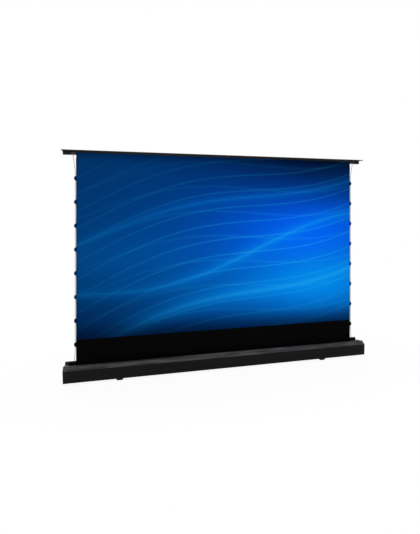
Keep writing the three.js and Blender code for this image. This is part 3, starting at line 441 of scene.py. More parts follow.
@dataclass(frozen=True)
class BlackCloth(Finish):
    """The black coating of the turns on the roller."""

    cloud_step: float = 4
    cloud_scale: float = 5.0
    weave_scale: float = 1500.0

    def paint(self, graph: Graph) -> tuple[Signal, Signal, Signal]:
        """Faint clouds over the weave."""
        weave = graph.woven(self.weave_scale)
        cloud = graph.noise(graph.place(), self.cloud_scale)
        colour = graph.mix(cloud.ramp(0.4, 0.8) * 0.6, self.tone(), self.tone(self.cloud_step))
        return colour, self.roughness + cloud.swing(0.1), weave


class Blue(Enum):
    """The inks of the picture, as a picture editor shows them."""

    MIDNIGHT = (0, 14, 38)
    NAVY = (0, 52, 100)
    ROYAL = (0, 92, 255)
    AZURE = (0, 146, 248)
    LIGHT = (40, 190, 255)

    @property
    def ink(self) -> Colour:
        """The ink as a shader takes it."""
        return linear(self.value)


@dataclass(frozen=True)
class Glow:
    """A round soft light in the picture. Its middle and reach are shares of the picture's size."""

    middle: Pair
    reach: Pair
    blue: Blue = Blue.AZURE
    strength: float = 1.0

    def light(self, across: Signal, up: Signal) -> Signal:
        """How bright it is at a point, up to its strength in its middle."""
        sideways = (across - self.middle[0]) / self.reach[0]
        upward = (up - self.middle[1]) / self.reach[1]
        return 1 / (1 + sideways * sideways + upward * upward) ** 2.0 * self.strength


@dataclass(frozen=True)
class Course:
    """A long curve through the picture, which rises to the right and bends on its way."""

    level: float
    rise: float
    bend: float

    def height(self, across: Signal) -> Signal:
        """Its height at a place across the picture."""
        return across * self.rise + (across * (1.6 * math.pi)).sine() * self.bend + self.level


@dataclass(frozen=True)
class Ribbon:
    """A soft band of light along a course, with a bright core that is several times slimmer."""

    course: Course
    width: float
    strength: float
    core_slimness: float = 5

    def band(self, across: Signal, up: Signal, width: float) -> Signal:
        """1 in the middle of a band of some width, and softly less beside it."""
        depth = (up - self.course.height(across)) / width
        return 1 / (1 + depth * depth) ** 2.0


@dataclass(frozen=True)
class Lines:
    """A set of fine even lines, one above another, which all follow the same course."""

    course: Course
    count: float
    strength: float
    sharpness: float = 26.0

    def light(self, across: Signal, up: Signal) -> Signal:
        """How bright the lines are at a point, up to their strength."""
        place = ((up - self.course.height(across)) * self.count).fraction()
        return 1 / (1 + ((place - 0.5) * self.sharpness) ** 2.0) ** 1.5 * self.strength


@dataclass(frozen=True)
class PrintedCloth(Finish):
    """The picture and the black drop in front, and the worn black coating behind.

    The picture is soft blue light in long waves, with fine lines that follow them. The UV map runs from 0
    to 1 across the cloth, and from the roller up to the bar. The heights and the border are shares of it.
    """

    relief: ClassVar[float] = 0.015 * MM

    picture_low: float
    picture_high: float
    border: float
    weld_borders: float = 2.2
    border_shade: float = 0.6
    cloud_scale: float = 5.0
    crease_scale: Triple = (0.7, 1.0, 9.0)
    weave_scale: float = 1500.0
    coating: Colour = (15, 15, 17)
    worn_coating: Colour = (25, 25, 27)
    weld: Colour = (44, 44, 47)
    glows: tuple[Glow, ...] = (
        Glow((0.2, 0.42), (0.5, 0.22), strength=0.12),
        Glow((0.83, 0.52), (0.44, 0.4), Blue.ROYAL),
        Glow((0.87, 0.25), (0.34, 0.24)),
    )
    lit: Glow = Glow((0.76, 0.42), (0.66, 0.5))
    dusk_shade: float = 0.8
    corner_shade: float = 0.9
    ribbons: tuple[Ribbon, ...] = (
        Ribbon(Course(-0.1, 0.5, 0.07), 0.085, 0.8),
        Ribbon(Course(0.24, 0.36, -0.08), 0.05, 0.5),
        Ribbon(Course(0.5, 0.44, 0.06), 0.03, 0.35),
    )
    line_sets: tuple[Lines, ...] = (
        Lines(Course(0.0, 0.5, 0.08), 11.0, 0.3),
        Lines(Course(0.0, 0.28, 0.08), 7.0, 0.14),
    )

    def paint(self, graph: Graph) -> tuple[Signal, Signal, Signal]:
        """The picture with its darker border, the drop below it, and the coating with its welded edges."""
        across, along = graph.uv()
        up = (along - self.picture_low) / (self.picture_high - self.picture_low)
        from_middle = (across - 0.5).size()
        border = from_middle.above(0.5 - self.border) * self.border_shade
        picture = graph.mix(border, self.picture(graph, across, up), Blue.MIDNIGHT.ink)
        cloud = graph.noise(graph.place(), self.cloud_scale)
        creases = graph.streaks(self.crease_scale)
        wear = cloud.ramp(0.35, 0.7) * 0.5 + creases.ramp(0.4, 0.75) * 0.5
        coating = graph.mix(wear, linear(self.coating), linear(self.worn_coating))
        weld = from_middle.above(0.5 - self.weld_borders * self.border)
        coating = graph.mix(weld * (0.35 + 0.3 * cloud), coating, linear(self.weld))
        rear = graph.attribute(REAR_ATTRIBUTE)
        black = graph.mix(rear, self.tone(), coating)
        drop = 1 - up.above(0.0)
        colour = graph.mix(drop.highest(rear), picture, black)
        return colour, self.roughness + cloud.swing(0.1), graph.woven(self.weave_scale)

    def picture(self, graph: Graph, across: Signal, up: Signal) -> Signal:
        """Paints the picture.

        Args:
            graph: The material's nodes.
            across: From 0 at the left edge of the picture to 1 at the right.
            up: From 0 at the bottom of the picture to 1 at the top.

        Returns:
            The picture's colour.
        """
        colour = graph.mix(up.ramp(-0.12, 0.42), Blue.MIDNIGHT.ink, Blue.NAVY.ink)
        for glow in self.glows:
            colour = graph.mix(glow.light(across, up), colour, glow.blue.ink)
        corner = up.ramp(0.6, 1.02) * across.ramp(0.05, 0.9)
        dusk = 1 - up.ramp(-0.02, 0.12)
        for shade in (corner * self.corner_shade, dusk * self.dusk_shade):
            colour = graph.mix(shade, colour, Blue.MIDNIGHT.ink)
        lit = self.lit.light(across, up) * (1 - self.dusk_shade * dusk)
        for ribbon in self.ribbons:
            band = ribbon.band(across, up, ribbon.width)
            colour = graph.mix(band * lit * ribbon.strength, colour, Blue.AZURE.ink)
            core = ribbon.band(across, up, ribbon.width / ribbon.core_slimness)
            colour = graph.mix(core * lit * (ribbon.strength / 2), colour, Blue.LIGHT.ink)
        for lines in self.line_sets:
            colour = graph.mix(lines.light(across, up) * lit, colour, Blue.LIGHT.ink)
        return colour


def every(element: object) -> bool:
    """Lets every vertex, edge or face take part in an edit."""
    return True


def lies_at(place: Pair) -> Callable[[bmesh.types.BMEdge], bool]:
    """A test for the edges along X that lie at a place in Y and Z."""

    def test(edge: bmesh.types.BMEdge) -> bool:
        """Whether both ends of the edge are there."""
        away = (abs(vertex.co[axis + 1] - place[axis]) for vertex in edge.verts for axis in (0, 1))
        return max(away) < NEAR

    return test


class Bench:
    """Shapes pieces with Blender's own modelling operators."""

    @staticmethod
    def alone(piece: Piece) -> None:
        """Makes a piece the only one that is selected."""
        bpy.ops.object.select_all(action="DESELECT")
        piece.select_set(True)
        bpy.context.view_layer.objects.active = piece

    @staticmethod
    def settled(name: str, scale: Point = (1, 1, 1)) -> Piece:
        """Names the new primitive and applies its place, turn and scale to its mesh."""
        piece = bpy.context.active_object
        piece.name = name
        piece.scale = scale
        Bench.alone(piece)
        bpy.ops.object.transform_apply(location=True, rotation=True, scale=True)
        return piece

    @staticmethod
    def block(name: str, low: Point, high: Point) -> Piece:
        """A box between two corners."""
        low, high = Vector(low), Vector(high)
        bpy.ops.mesh.primitive_cube_add(size=1, location=(low + high) / 2)
        return Bench.settled(name, high - low)

    @staticmethod
    def rod(name: str, radius: float, start: Point, end: Point, sides: int, closed: bool = True) -> Piece:
        """A round rod.

        Args:
            name: The piece's name.
            radius: Its radius.
            start: The middle of its first end.
            end: The middle of its other end.
            sides: How many faces go round it.
            closed: Whether it has ends, or is an open sleeve.

        Returns:
            The rod.
        """
        start, end = Vector(start), Vector(end)
        axis = end - start
        bpy.ops.mesh.primitive_cylinder_add(
            vertices=sides,
            radius=radius,
            depth=axis.length,
            location=(start + end) / 2,
            rotation=axis.to_track_quat("Z", "Y").to_euler(),
            end_fill_type="NGON" if closed else "NOTHING",
        )
        return Bench.settled(name)

    @staticmethod
    def edit(
        piece: Piece,
        kind: str,
        wanted: Callable[[object], bool],
        operator: Callable[..., object],
        **settings: object,
    ) -> None:
        """Runs an operator on a part of a piece.

        Args:
            piece: The piece.
            kind: VERT, EDGE or FACE.
            wanted: Whether one vertex, edge or face takes part.
            operator: The operator, or a function that runs several. It is called in edit mode.
            **settings: What it is told.
        """
        Bench.alone(piece)
        bpy.ops.object.mode_set(mode="EDIT")
        bpy.ops.mesh.select_mode(type=kind)
        bpy.ops.mesh.select_all(action="DESELECT")
        mesh = bmesh.from_edit_mesh(piece.data)
        for element in {"VERT": mesh.verts, "EDGE": mesh.edges, "FACE": mesh.faces}[kind]:
            if wanted(element):
                element.select_set(True)
        mesh.select_flush_mode()
        bmesh.update_edit_mesh(piece.data)
        operator(**settings)
        bpy.ops.object.mode_set(mode="OBJECT")

    @staticmethod
    def round_edges(piece: Piece, wanted: Callable[[object], bool], width: float, segments: int) -> None:
        """Rounds the edges of a piece that pass a test."""
        settings = {"offset": width, "segments": segments, "affect": "EDGES"}
        Bench.edit(piece, "EDGE", wanted, bpy.ops.mesh.bevel, **settings)

    @staticmethod
    def face_out(piece: Piece) -> None:
        """Turns every face of a closed piece outwards."""
        Bench.edit(piece, "FACE", every, bpy.ops.mesh.normals_make_consistent, inside=False)

    @staticmethod
    def folded(name: str, half: float, path: Sequence[Pair], bends: Iterable[tuple[int, float]]) -> Piece:
        """A strip along X, folded through a path by extruding its free edge from point to point.

        Args:
            name: The piece's name.
            half: Half its length.
            path: The points in Y and Z.
            bends: The number of each rounded point and its rounding.

        Returns:
            The folded strip, with no thickness yet.
        """
        (y0, z0), (y1, z1) = path[:2]
        bpy.ops.mesh.primitive_plane_add(
            size=1,
            location=(0, (y0 + y1) / 2, (z0 + z1) / 2),
            rotation=(math.atan2(z1 - z0, y1 - y0), 0, 0),
        )
        piece = Bench.settled(name, (2 * half, math.hypot(y1 - y0, z1 - z0), 1))
        extrude = bpy.ops.mesh.extrude_region_move
        for (y, z), (next_y, next_z) in zip(path[1:], path[2:]):
            move = {"value": (0, next_y - y, next_z - z)}
            Bench.edit(piece, "EDGE", lies_at((y, z)), extrude, TRANSFORM_OT_translate=move)
        for number, rounding in bends:
            Bench.round_edges(piece, lies_at(path[number]), rounding, 5)
        return piece

    @staticmethod
    def modify(piece: Piece, kind: str, **settings: object) -> None:
        """Adds a modifier, sets it and applies it."""
        Bench.alone(piece)
        modifier = piece.modifiers.new(kind.lower(), kind)
        for key, value in settings.items():
            setattr(modifier, key, value)
        bpy.ops.object.modifier_apply(modifier=modifier.name)

    @staticmethod
    def thicken(piece: Piece, thickness: float, toward: Point) -> None:
        """Gives a folded strip its wall.

        Args:
            piece: The strip.
            thickness: The wall.
            toward: The way from the strip's first face to its wall.
        """
        inward = piece.data.polygons[0].normal.dot(Vector(toward)) > 0
        settings = {"thickness": thickness, "offset": 1 if inward else -1, "use_even_offset": True}
        Bench.modify(piece, "SOLIDIFY", **settings)
        Bench.face_out(piece)

    @staticmethod
    def mark(piece: Piece, name: str, values: Sequence[float]) -> None:
        """Keeps a number on each face of a piece, for its finish to read."""
        attribute = piece.data.attributes.new(name, "FLOAT", "FACE")
        attribute.data.foreach_set("value", np.asarray(values, np.float32))

    @staticmethod
    def unwrap(piece: Piece, flat: Callable[[Vector], Pair]) -> None:
        """Gives a piece the UV map that its finish reads, worked out from the place of each corner."""
        layer = piece.data.uv_layers.new(name=UV_MAP)
        for loop in piece.data.loops:
            layer.data[loop.index].uv = flat(piece.data.vertices[loop.vertex_index].co)

    @staticmethod
    def smooth(piece: Piece, angle: float = SHARP_ANGLE) -> None:
        """Shades smoothly over shallow edges only."""
        Bench.alone(piece)
        bpy.ops.object.shade_smooth_by_angle(angle=math.radians(angle))

    @staticmethod
    def bevel(piece: Piece, width: float, angle: float, **settings: object) -> None:
        """Rounds every edge that is sharper than an angle."""
        settings |= {"width": width, "segments": 2, "limit_method": "ANGLE"}
        Bench.modify(piece, "BEVEL", angle_limit=math.radians(angle), **settings)

    @staticmethod
    def round_over(piece: Piece, width: float) -> None:
        """Rounds every sharp edge. Marks the new faces, where a finish wears, and how far each face looks up,
        which sets where a finish paints its highlight.

        Args:
            piece: The piece.
            width: The width of the rounding.
        """
        data = piece.data
        data.materials.clear()
        for _ in range(2):
            data.materials.append(None)
        Bench.bevel(piece, width, SHARP_ANGLE, material=1)
        rounded = np.zeros(len(data.polygons), np.int32)
        data.polygons.foreach_get("material_index", rounded)
        Bench.mark(piece, EDGE_ATTRIBUTE, rounded)
        normals = np.zeros(3 * len(data.polygons), np.float32)
        data.polygons.foreach_get("normal", normals)
        # how far each face looks up, where the finishes paint their highlight
        Bench.mark(piece, TOP_ATTRIBUTE, np.clip(normals[2::3], 0, 1))
        data.polygons.foreach_set("material_index", np.zeros_like(rounded))
        data.materials.clear()
        Bench.smooth(piece)
        Bench.modify(piece, "WEIGHTED_NORMAL", keep_sharp=True)

    @staticmethod
    def cut(piece: Piece, *tools: Piece, keep: str = "DIFFERENCE") -> None:
        """Cuts tools out of a piece, or joins them to it, and removes them."""
        for tool in tools:
            Bench.modify(piece, "BOOLEAN", operation=keep, object=tool, solver="EXACT")
            bpy.data.objects.remove(tool)

    @staticmethod
    def put(name: str, mesh: bpy.types.Mesh) -> Piece:
        """Puts a mesh into the scene as a piece."""
        piece = bpy.data.objects.new(name, mesh)
        bpy.context.scene.collection.objects.link(piece)
        return piece

    @staticmethod
    def from_node(node: str, name: str) -> Piece:
        """Copies a node's mesh, merges its loose triangles and dissolves them into whole faces."""

        def clean() -> None:
            """Does it all in one stay in edit mode, as the faces come out otherwise if it is left between."""
            bpy.ops.mesh.remove_doubles(threshold=MERGE_REACH)
            bpy.ops.mesh.dissolve_limited(angle_limit=math.radians(FLAT_ANGLE))
            bpy.ops.mesh.customdata_custom_splitnormals_clear()

        piece = Bench.put(name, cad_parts[node].data.copy())
        Bench.edit(piece, "VERT", every, clean)
        return piece

    @staticmethod
    def from_points(name: str, points: Iterable[Point], faces: Iterable[Sequence[int]]) -> Piece:
        """A soft piece from its own points and faces."""
        mesh = bpy.data.meshes.new(name)
        mesh.from_pydata([tuple(point) for point in points], [], [tuple(face) for face in faces])
        return Bench.put(name, mesh)

    @staticmethod
    def gather(name: str, model: Piece, places: Iterable[Matrix]) -> Piece:
        """Repeats a model as one piece.

        Args:
            name: The piece's name.
            model: What is repeated. It is removed.
            places: Where each copy goes.

        Returns:
            The copies, joined.
        """
        copies = []
        for place in places:
            copy = Bench.put(name, model.data.copy())
            copy.data.transform(place)
            copies.append(copy)
        bpy.data.objects.remove(model)
        Bench.alone(copies[0])
        for copy in copies:
            copy.select_set(True)
        bpy.ops.object.join()
        copies[0].name = name
        return copies[0]


@dataclass(frozen=True)
class Screw:
    """A pan head screw with a cross recess, its seat at the origin and its head along +Z."""

    radius: float = 3.3 * MM
    height: float = 1.7 * MM
    recess_length: float = 3.4 * MM
    recess_width: float = 0.7 * MM
    recess_depth: float = 1.1 * MM
    sunk: float = 0.3 * MM
    rounding_share: float = 0.6

    def model(self) -> Piece:
        """Models one screw head."""
        head = Bench.rod("screw", self.radius, (0, 0, -self.sunk), (0, 0, self.height), 24)
        rim = self.height / 2
        rounding = self.height * self.rounding_share
        Bench.round_edges(head, lambda edge: all(v.co.z > rim for v in edge.verts), rounding, 3)
        half, thin = self.recess_length / 2, self.recess_width / 2
        floor, top = self.height - self.recess_depth, self.height + OVERRUN
        for x, y in ((half, thin), (thin, half)):
            Bench.cut(head, Bench.block("recess", (-x, -y, floor), (x, y, top)))
        Bench.smooth(head)
        return head


PAN_SCREW = Screw()
SMALL_SCREW = Screw(2.6 * MM, 0.9 * MM, 3.0 * MM, 0.6 * MM, 0.6 * MM)
ANCHOR_SCREW = Screw(2.2 * MM, 1.0 * MM, 2.4 * MM, 0.5 * MM, 0.6 * MM)
FLUSH_SCREW = Screw(height=0.25 * MM, recess_depth=0.2 * MM)


@dataclass(frozen=True)
class Palette:
    """The finishes of the whole screen, each made once."""

    # the cover's last number, 62, is the step of its painted highlight on faces that look up
    cover: Finish = CoatedExtrusion("satin_black_extrusion", "cover_paint", (11, 11, 12), 0.42, 0.08, 9, 62)
    base: Finish = CoatedExtrusion("matt_black_extrusion", "base_paint", (11, 11, 12), 0.55, 0.08, 7)
    bar: Finish = CoatedExtrusion("bar_black_extrusion", "bar_paint", (40, 40, 42), 0.45, 0.12, 18)
    # the cap's last number, 46, is the step of its painted highlight on faces that look up
    cap: Finish = MouldedPlastic("cap_plastic", "cap_plastic", (12, 12, 13), 0.42, 0.09, 46)
    bar_end: Finish = MouldedPlastic("bar_end_plastic", "bar_plastic", (32, 32, 33), 0.5, 0.12)
    anchor: Finish = MouldedPlastic("anchor_plastic", "anchor_plastic", (66, 66, 68), 0.5, 0.2)
    control: Finish = MouldedPlastic("control_plastic", "control_plastic", (30, 30, 32), 0.55, 0.25)
    wheel: Finish = MouldedPlastic("nylon", "wheel_plastic", (206, 206, 200), 0.5, 0.4)
    arm: Finish = PowderCoat("arm_powder_coat", "arm_paint", (26, 26, 29), 0.42, 0.3)
    foot: Finish = PowderCoat("foot_powder_coat", "foot_paint", (12, 12, 13), 0.6, 0.15)
    fork: Finish = Metal(
        "black_plated_steel", "fork_steel", (62, 62, 66), 0.42, 0.5, (38, 37, 40), (180, 180, 180)
    )
    pin: Finish = Metal(
        "turned_steel", "pin_steel", (176, 177, 180), 0.28, 0.5, (150, 148, 142), (40, 900, 40)
    )
    tube: Finish = Metal(
        "mill_aluminium", "tube_aluminium", (182, 184, 188), 0.36, 0.5, (160, 161, 163), (4, 500, 500)
    )
    motor: Finish = Metal(
        "drawn_steel", "motor_steel", (140, 142, 147), 0.38, 0.5, (118, 119, 122), (6, 400, 400)
    )
    cord: Finish = BraidedCord("braided_cord", "cord", (26, 26, 28), 0.7, 0.15)
    rubber: Finish = Rubber("black_rubber", "rubber", (16, 16, 16), 0.78, 0.2)
    black_cloth: Finish = BlackCloth("black_coated_cloth", "cloth_black", (7, 7, 8), 0.72, 0.05)


class Dresser:
    """Gives pieces and carried-over nodes their finish, body and the nodes they stand for."""

    def __init__(self, palette: Palette) -> None:
        """Keeps the finishes, and makes each material when it is first asked for."""
        self.palette = palette
        self.made: dict[str, bpy.types.Material] = {}

    def material(self, finish: Finish) -> bpy.types.Material:
        """The material of a finish."""
        if finish.name not in self.made:
            self.made[finish.name] = finish.material()
        return self.made[finish.name]

    def dress(self, piece: Piece, finish: Finish, body: str, nodes: Sequence[str] = ()) -> Piece:
        """Finishes one piece.

        Args:
            piece: The piece.
            finish: Its finish, which also names the record's material slot.
            body: The body that it rides on.
            nodes: The nodes that it stands for.

        Returns:
            The piece.
        """
        piece.data.materials.clear()
        piece.data.materials.append(self.material(finish))
        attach(piece, body)
        if nodes:
            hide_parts(*nodes)
        log.info("%s rides on %s, %d faces", piece.name, body, len(piece.data.polygons))
        return piece

    def carry(self, finish: Finish, *nodes: str) -> None:
        """Gives carried-over nodes their finish, as they stand."""
        for node in nodes:
            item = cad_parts[node]
            for slot in item.material_slots:
                slot.material = self.material(finish)
            if not item.material_slots:
                item.data.materials.append(self.material(finish))
            log.info("%s stays as the node, finished as %s", node, finish.name)

    def edged(self, body: str, finish: Finish, width: float, *nodes: str) -> None:
        """Stands for nodes with copies of them whose sharp edges are rounded.

        Args:
            body: The body that they ride on.
            finish: Their finish.
            width: The width of the rounding.
            *nodes: The nodes.
        """
        for node in nodes:
            piece = Bench.from_node(node, f"{node}_edged")
            Bench.round_over(piece, width)
            self.dress(piece, finish, body, [node])

    def socketed(self, node: str, body: str) -> None:
        """Stands for a pivot pin with a copy of it that has a hexagon socket in its head."""
        piece = Bench.from_node(node, f"{node}_turned")
        low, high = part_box(node)
        x, y, z = (low[0] + high[0]) / 2, high[1], (low[2] + high[2]) / 2
        Bench.cut(piece, Bench.rod("key", PIN_KEY / 2, (x, y - PIN_KEY_DEPTH, z), (x, y + OVERRUN, z), 6))
        Bench.round_over(piece, THIN_EDGE)
        self.dress(piece, self.palette.pin, body, [node])

    def screws(self, name: str, screw: Screw, body: str, points: Iterable[Point], way: Point) -> None:
        """Puts in a group of screws as one piece.

        Args:
            name: The piece's name.
            screw: The kind of screw.
            body: The body that they ride on.
            points: Where each is seated.
            way: The way that their heads look.
        """
        turn = Vector(way).to_track_quat("Z", "Y").to_matrix().to_4x4()
        places = [Matrix.Translation(Vector(point)) @ turn for point in points]
        self.dress(Bench.gather(name, screw.model(), places), self.palette.fork, body)


def fold_away(piece: Piece) -> None:
    """Gives a soft piece a mesh of its own."""
    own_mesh(piece)


@dataclass(frozen=True)
class SoftBox:
    """A large square lamp that looks at a point."""

    name: str
    place: Triple
    aim: Triple
    size: float
    power: float

    def build(self) -> None:
        """Hangs the lamp."""
        data = bpy.data.lights.new(self.name, "AREA")
        data.shape = "SQUARE"
        data.size = self.size
        data.energy = self.power
        lamp = bpy.data.objects.new(self.name, data)
        lamp.location = self.place
        way = Vector(self.aim) - Vector(self.place)
        lamp.rotation_euler = way.to_track_quat("-Z", "Y").to_euler()
        bpy.context.scene.collection.objects.link(lamp)


@dataclass
class Studio:
    """The camera of the photo, a pale floor, a white backdrop and soft light."""

    camera_place: Triple = (-0.7833, -2.8596, 1.2065)
    yaw: float = 13.17
    focal_pixels: float = 373.93
    horizon_pixel: float = 211.91
    picture_height: float = 534
    sensor: float = 36
    floor_size: float = 80
    floor_tone: float = 0.93
    fill_level: float = 0.62
    shadow_share: float = 0.08
    shadow_reach: Pair = (1.9, 0.9)
    lamps: tuple[SoftBox, ...] = (
        SoftBox("overhead_soft_box", (0.2, -1.0, 3.6), (0, 0, 0.6), 3.2, 62),
        SoftBox("rear_soft_box", (-0.4, 3.2, 2.6), (0, 0, 0.8), 2.4, 26),
    )

    def camera(self) -> None:
        """Places the camera. The shift puts the horizon where the photo has it."""
        data = bpy.data.cameras.new("camera")
        data.sensor_width = self.sensor
        data.lens = self.focal_pixels / self.picture_height * self.sensor
        data.shift_y = (self.horizon_pixel - self.picture_height / 2) / self.picture_height
        camera = bpy.data.objects.new("camera", data)
        camera.location = self.camera_place
        camera.rotation_euler = (math.radians(90), 0, math.radians(-self.yaw))
        bpy.context.scene.collection.objects.link(camera)
        bpy.context.scene.camera = camera

    def backdrop_rays(self, graph: Graph) -> Signal:
        """1 for the rays that see the backdrop itself: from the camera, and in metal or glass."""
        kinds = ("Camera", "Glossy", "Transmission")
        seen, glossy, through = (graph.node("ShaderNodeLightPath", output=f"Is {kind} Ray") for kind in kinds)
        return seen.highest(glossy).highest(through)

    def floor(self) -> None:
        """A pale floor, which keeps a faint shadow near the screen and is plain white further out."""
        bpy.ops.mesh.primitive_plane_add(size=self.floor_size)
        floor = Bench.settled("floor")
        graph = Graph.of_material("pale_floor")
        matt = graph.node("ShaderNodeBsdfDiffuse", inputs={"Color": (self.floor_tone,) * 3})
        white = graph.node("ShaderNodeEmission", inputs={"Color": (1, 1, 1), "Strength": 1.0})
        place = graph.place()
        sideways, deep = (graph.part(place, axis) / self.shadow_reach[axis] for axis in (0, 1))
        near = 1 - (sideways * sideways + deep * deep).ramp(0.2, 1.0)
        share = self.backdrop_rays(graph) * (1 - near * self.shadow_share)
        both = graph.node("ShaderNodeMixShader", inputs={0: share, 1: matt, 2: white})
        graph.node("ShaderNodeOutputMaterial", inputs={"Surface": both})
        floor.data.materials.append(graph.holder)

    def world(self) -> None:
        """White to the camera, and an even soft fill for everything else."""
        graph = Graph(bpy.data.worlds.new("backdrop"))
        bpy.context.scene.world = graph.holder
        fill, white = (
            graph.node("ShaderNodeBackground", inputs={"Color": (1, 1, 1), "Strength": level})
            for level in (self.fill_level, 1.0)
        )
        both = graph.node("ShaderNodeMixShader", inputs={0: self.backdrop_rays(graph), 1: fill, 2: white})
        graph.node("ShaderNodeOutputWorld", inputs={"Surface": both})

    def build(self) -> None:
        """Sets up the whole studio."""
        bpy.context.scene.view_settings.view_transform = "Standard"
        self.camera()
        self.floor()
        self.world()
        for lamp in self.lamps:
            lamp.build()
        log.info("studio ready")


@dataclass
class TensionCords:
    """The two cords at the cloth's edges, held all the way from bar to roller."""

    dresser: Dresser
    sides: int = 14
    steps: int = 260
    route: tuple[Triple, ...] = (
        (1.1265, -0.0248, 1.628),
        (1.1265, -0.0248, 1.619),
        (1.1265, -0.0248, 1.599),
        (1.1145, -0.02, 1.509),
        (1.1145, -0.02, 1.488),
        (1.1145, -0.02, 1.297),
        (1.1145, -0.02, 0.8505),
        (1.1145, -0.02, 0.404),
        (1.1145, -0.02, 0.233),
        (1.1145, -0.02, 0.213),
        (1.12, -0.02, 0.131),
        (1.12, -0.02, 0.091),
        (1.12, -0.02, 0.0623),
    )

    @staticmethod
    def between(t: float, start: float, end: float, first: np.ndarray, last: np.ndarray) -> np.ndarray:
        """The point that lies between two others as t lies between the start and the end."""
        return (end - t) / (end - start) * first + (t - start) / (end - start) * last

    def line(self, side: Side) -> np.ndarray:
        """The cord's centreline: a centripetal curve through the route."""
        points = np.array([(side.value * x, y, z) for x, y, z in self.route])
        padded = np.vstack([2 * points[0] - points[1], points, 2 * points[-1] - points[-2]])
        knots = np.concatenate([[0], np.cumsum(np.sqrt(np.linalg.norm(np.diff(padded, axis=0), axis=1)))])
        samples = []
        for t in np.linspace(knots[1], knots[-2], self.steps + 1):
            i = min(max(int(np.searchsorted(knots, t, side="right")) - 1, 1), len(points) - 1)
            p0, p1, p2, p3 = padded[i - 1 : i + 3]
            t0, t1, t2, t3 = knots[i - 1 : i + 3]
            a1 = self.between(t, t0, t1, p0, p1)
            a2 = self.between(t, t1, t2, p1, p2)
            a3 = self.between(t, t2, t3, p2, p3)
            b1 = self.between(t, t0, t2, a1, a2)
            b2 = self.between(t, t1, t3, a2, a3)
            samples.append(self.between(t, t1, t2, b1, b2))
        return np.array(samples)

    def tube(self, name: str, line: np.ndarray, along: np.ndarray) -> Piece:
        """A round tube on a centreline, with a UV map that runs round it and along it.

        Args:
            name: The piece's name.
            line: The centreline.
            along: How far along the whole cord each of its points lies, from 0 to 1.

        Returns:
            The tube.
        """
        angles = [2 * math.pi * i / self.sides for i in range(self.sides)]
        ring = np.array([(math.cos(a), math.sin(a), 0) for a in angles]) * CORD_RADIUS
        points = [centre + offset for centre in line for offset in ring]
        rows, sides = len(line), self.sides
        faces = []
        for row in range(rows - 1):
            for s in range(sides):
                here, beside = row * sides + s, row * sides + (s + 1) % sides
                faces.append((here, here + sides, beside + sides, beside))
        faces.append(range(sides))
        faces.append(reversed(range((rows - 1) * sides, rows * sides)))
        cord = Bench.from_points(name, points, faces)
        layer = cord.data.uv_layers.new(name=UV_MAP)
        for face in cord.data.polygons:
            spots = [divmod(cord.data.loops[loop].vertex_index, sides) for loop in face.loop_indices]
            closes = any(around == sides - 1 for _, around in spots)
            for loop, (row, around) in zip(face.loop_indices, spots):
                turn = 1.0 if closes and around == 0 else around / sides
                layer.data[loop].uv = (turn, along[row])
        Bench.smooth(cord, 60)
        return cord

    def build(self) -> None:
        """Makes and dresses both cords. The end inside the anchor stays with the bar."""
        finish = self.dresser.palette.cord
        for side in Side:
            line = self.line(side)
            along = np.linspace(0, 1, len(line))
            split = int(np.argmax(line[:, 2] < LIFT_LINE))
            cord = self.tube(f"edge_cord_{side.word}", line[split:], along[split:])
            self.dresser.dress(cord, finish, "case", [f"tension_cord_{side.word}"])
            fold_away(cord)
            end = self.tube(f"cord_end_{side.word}", line[: split + 1], along[: split + 1])
            self.dresser.dress(end, finish, "top_bar")


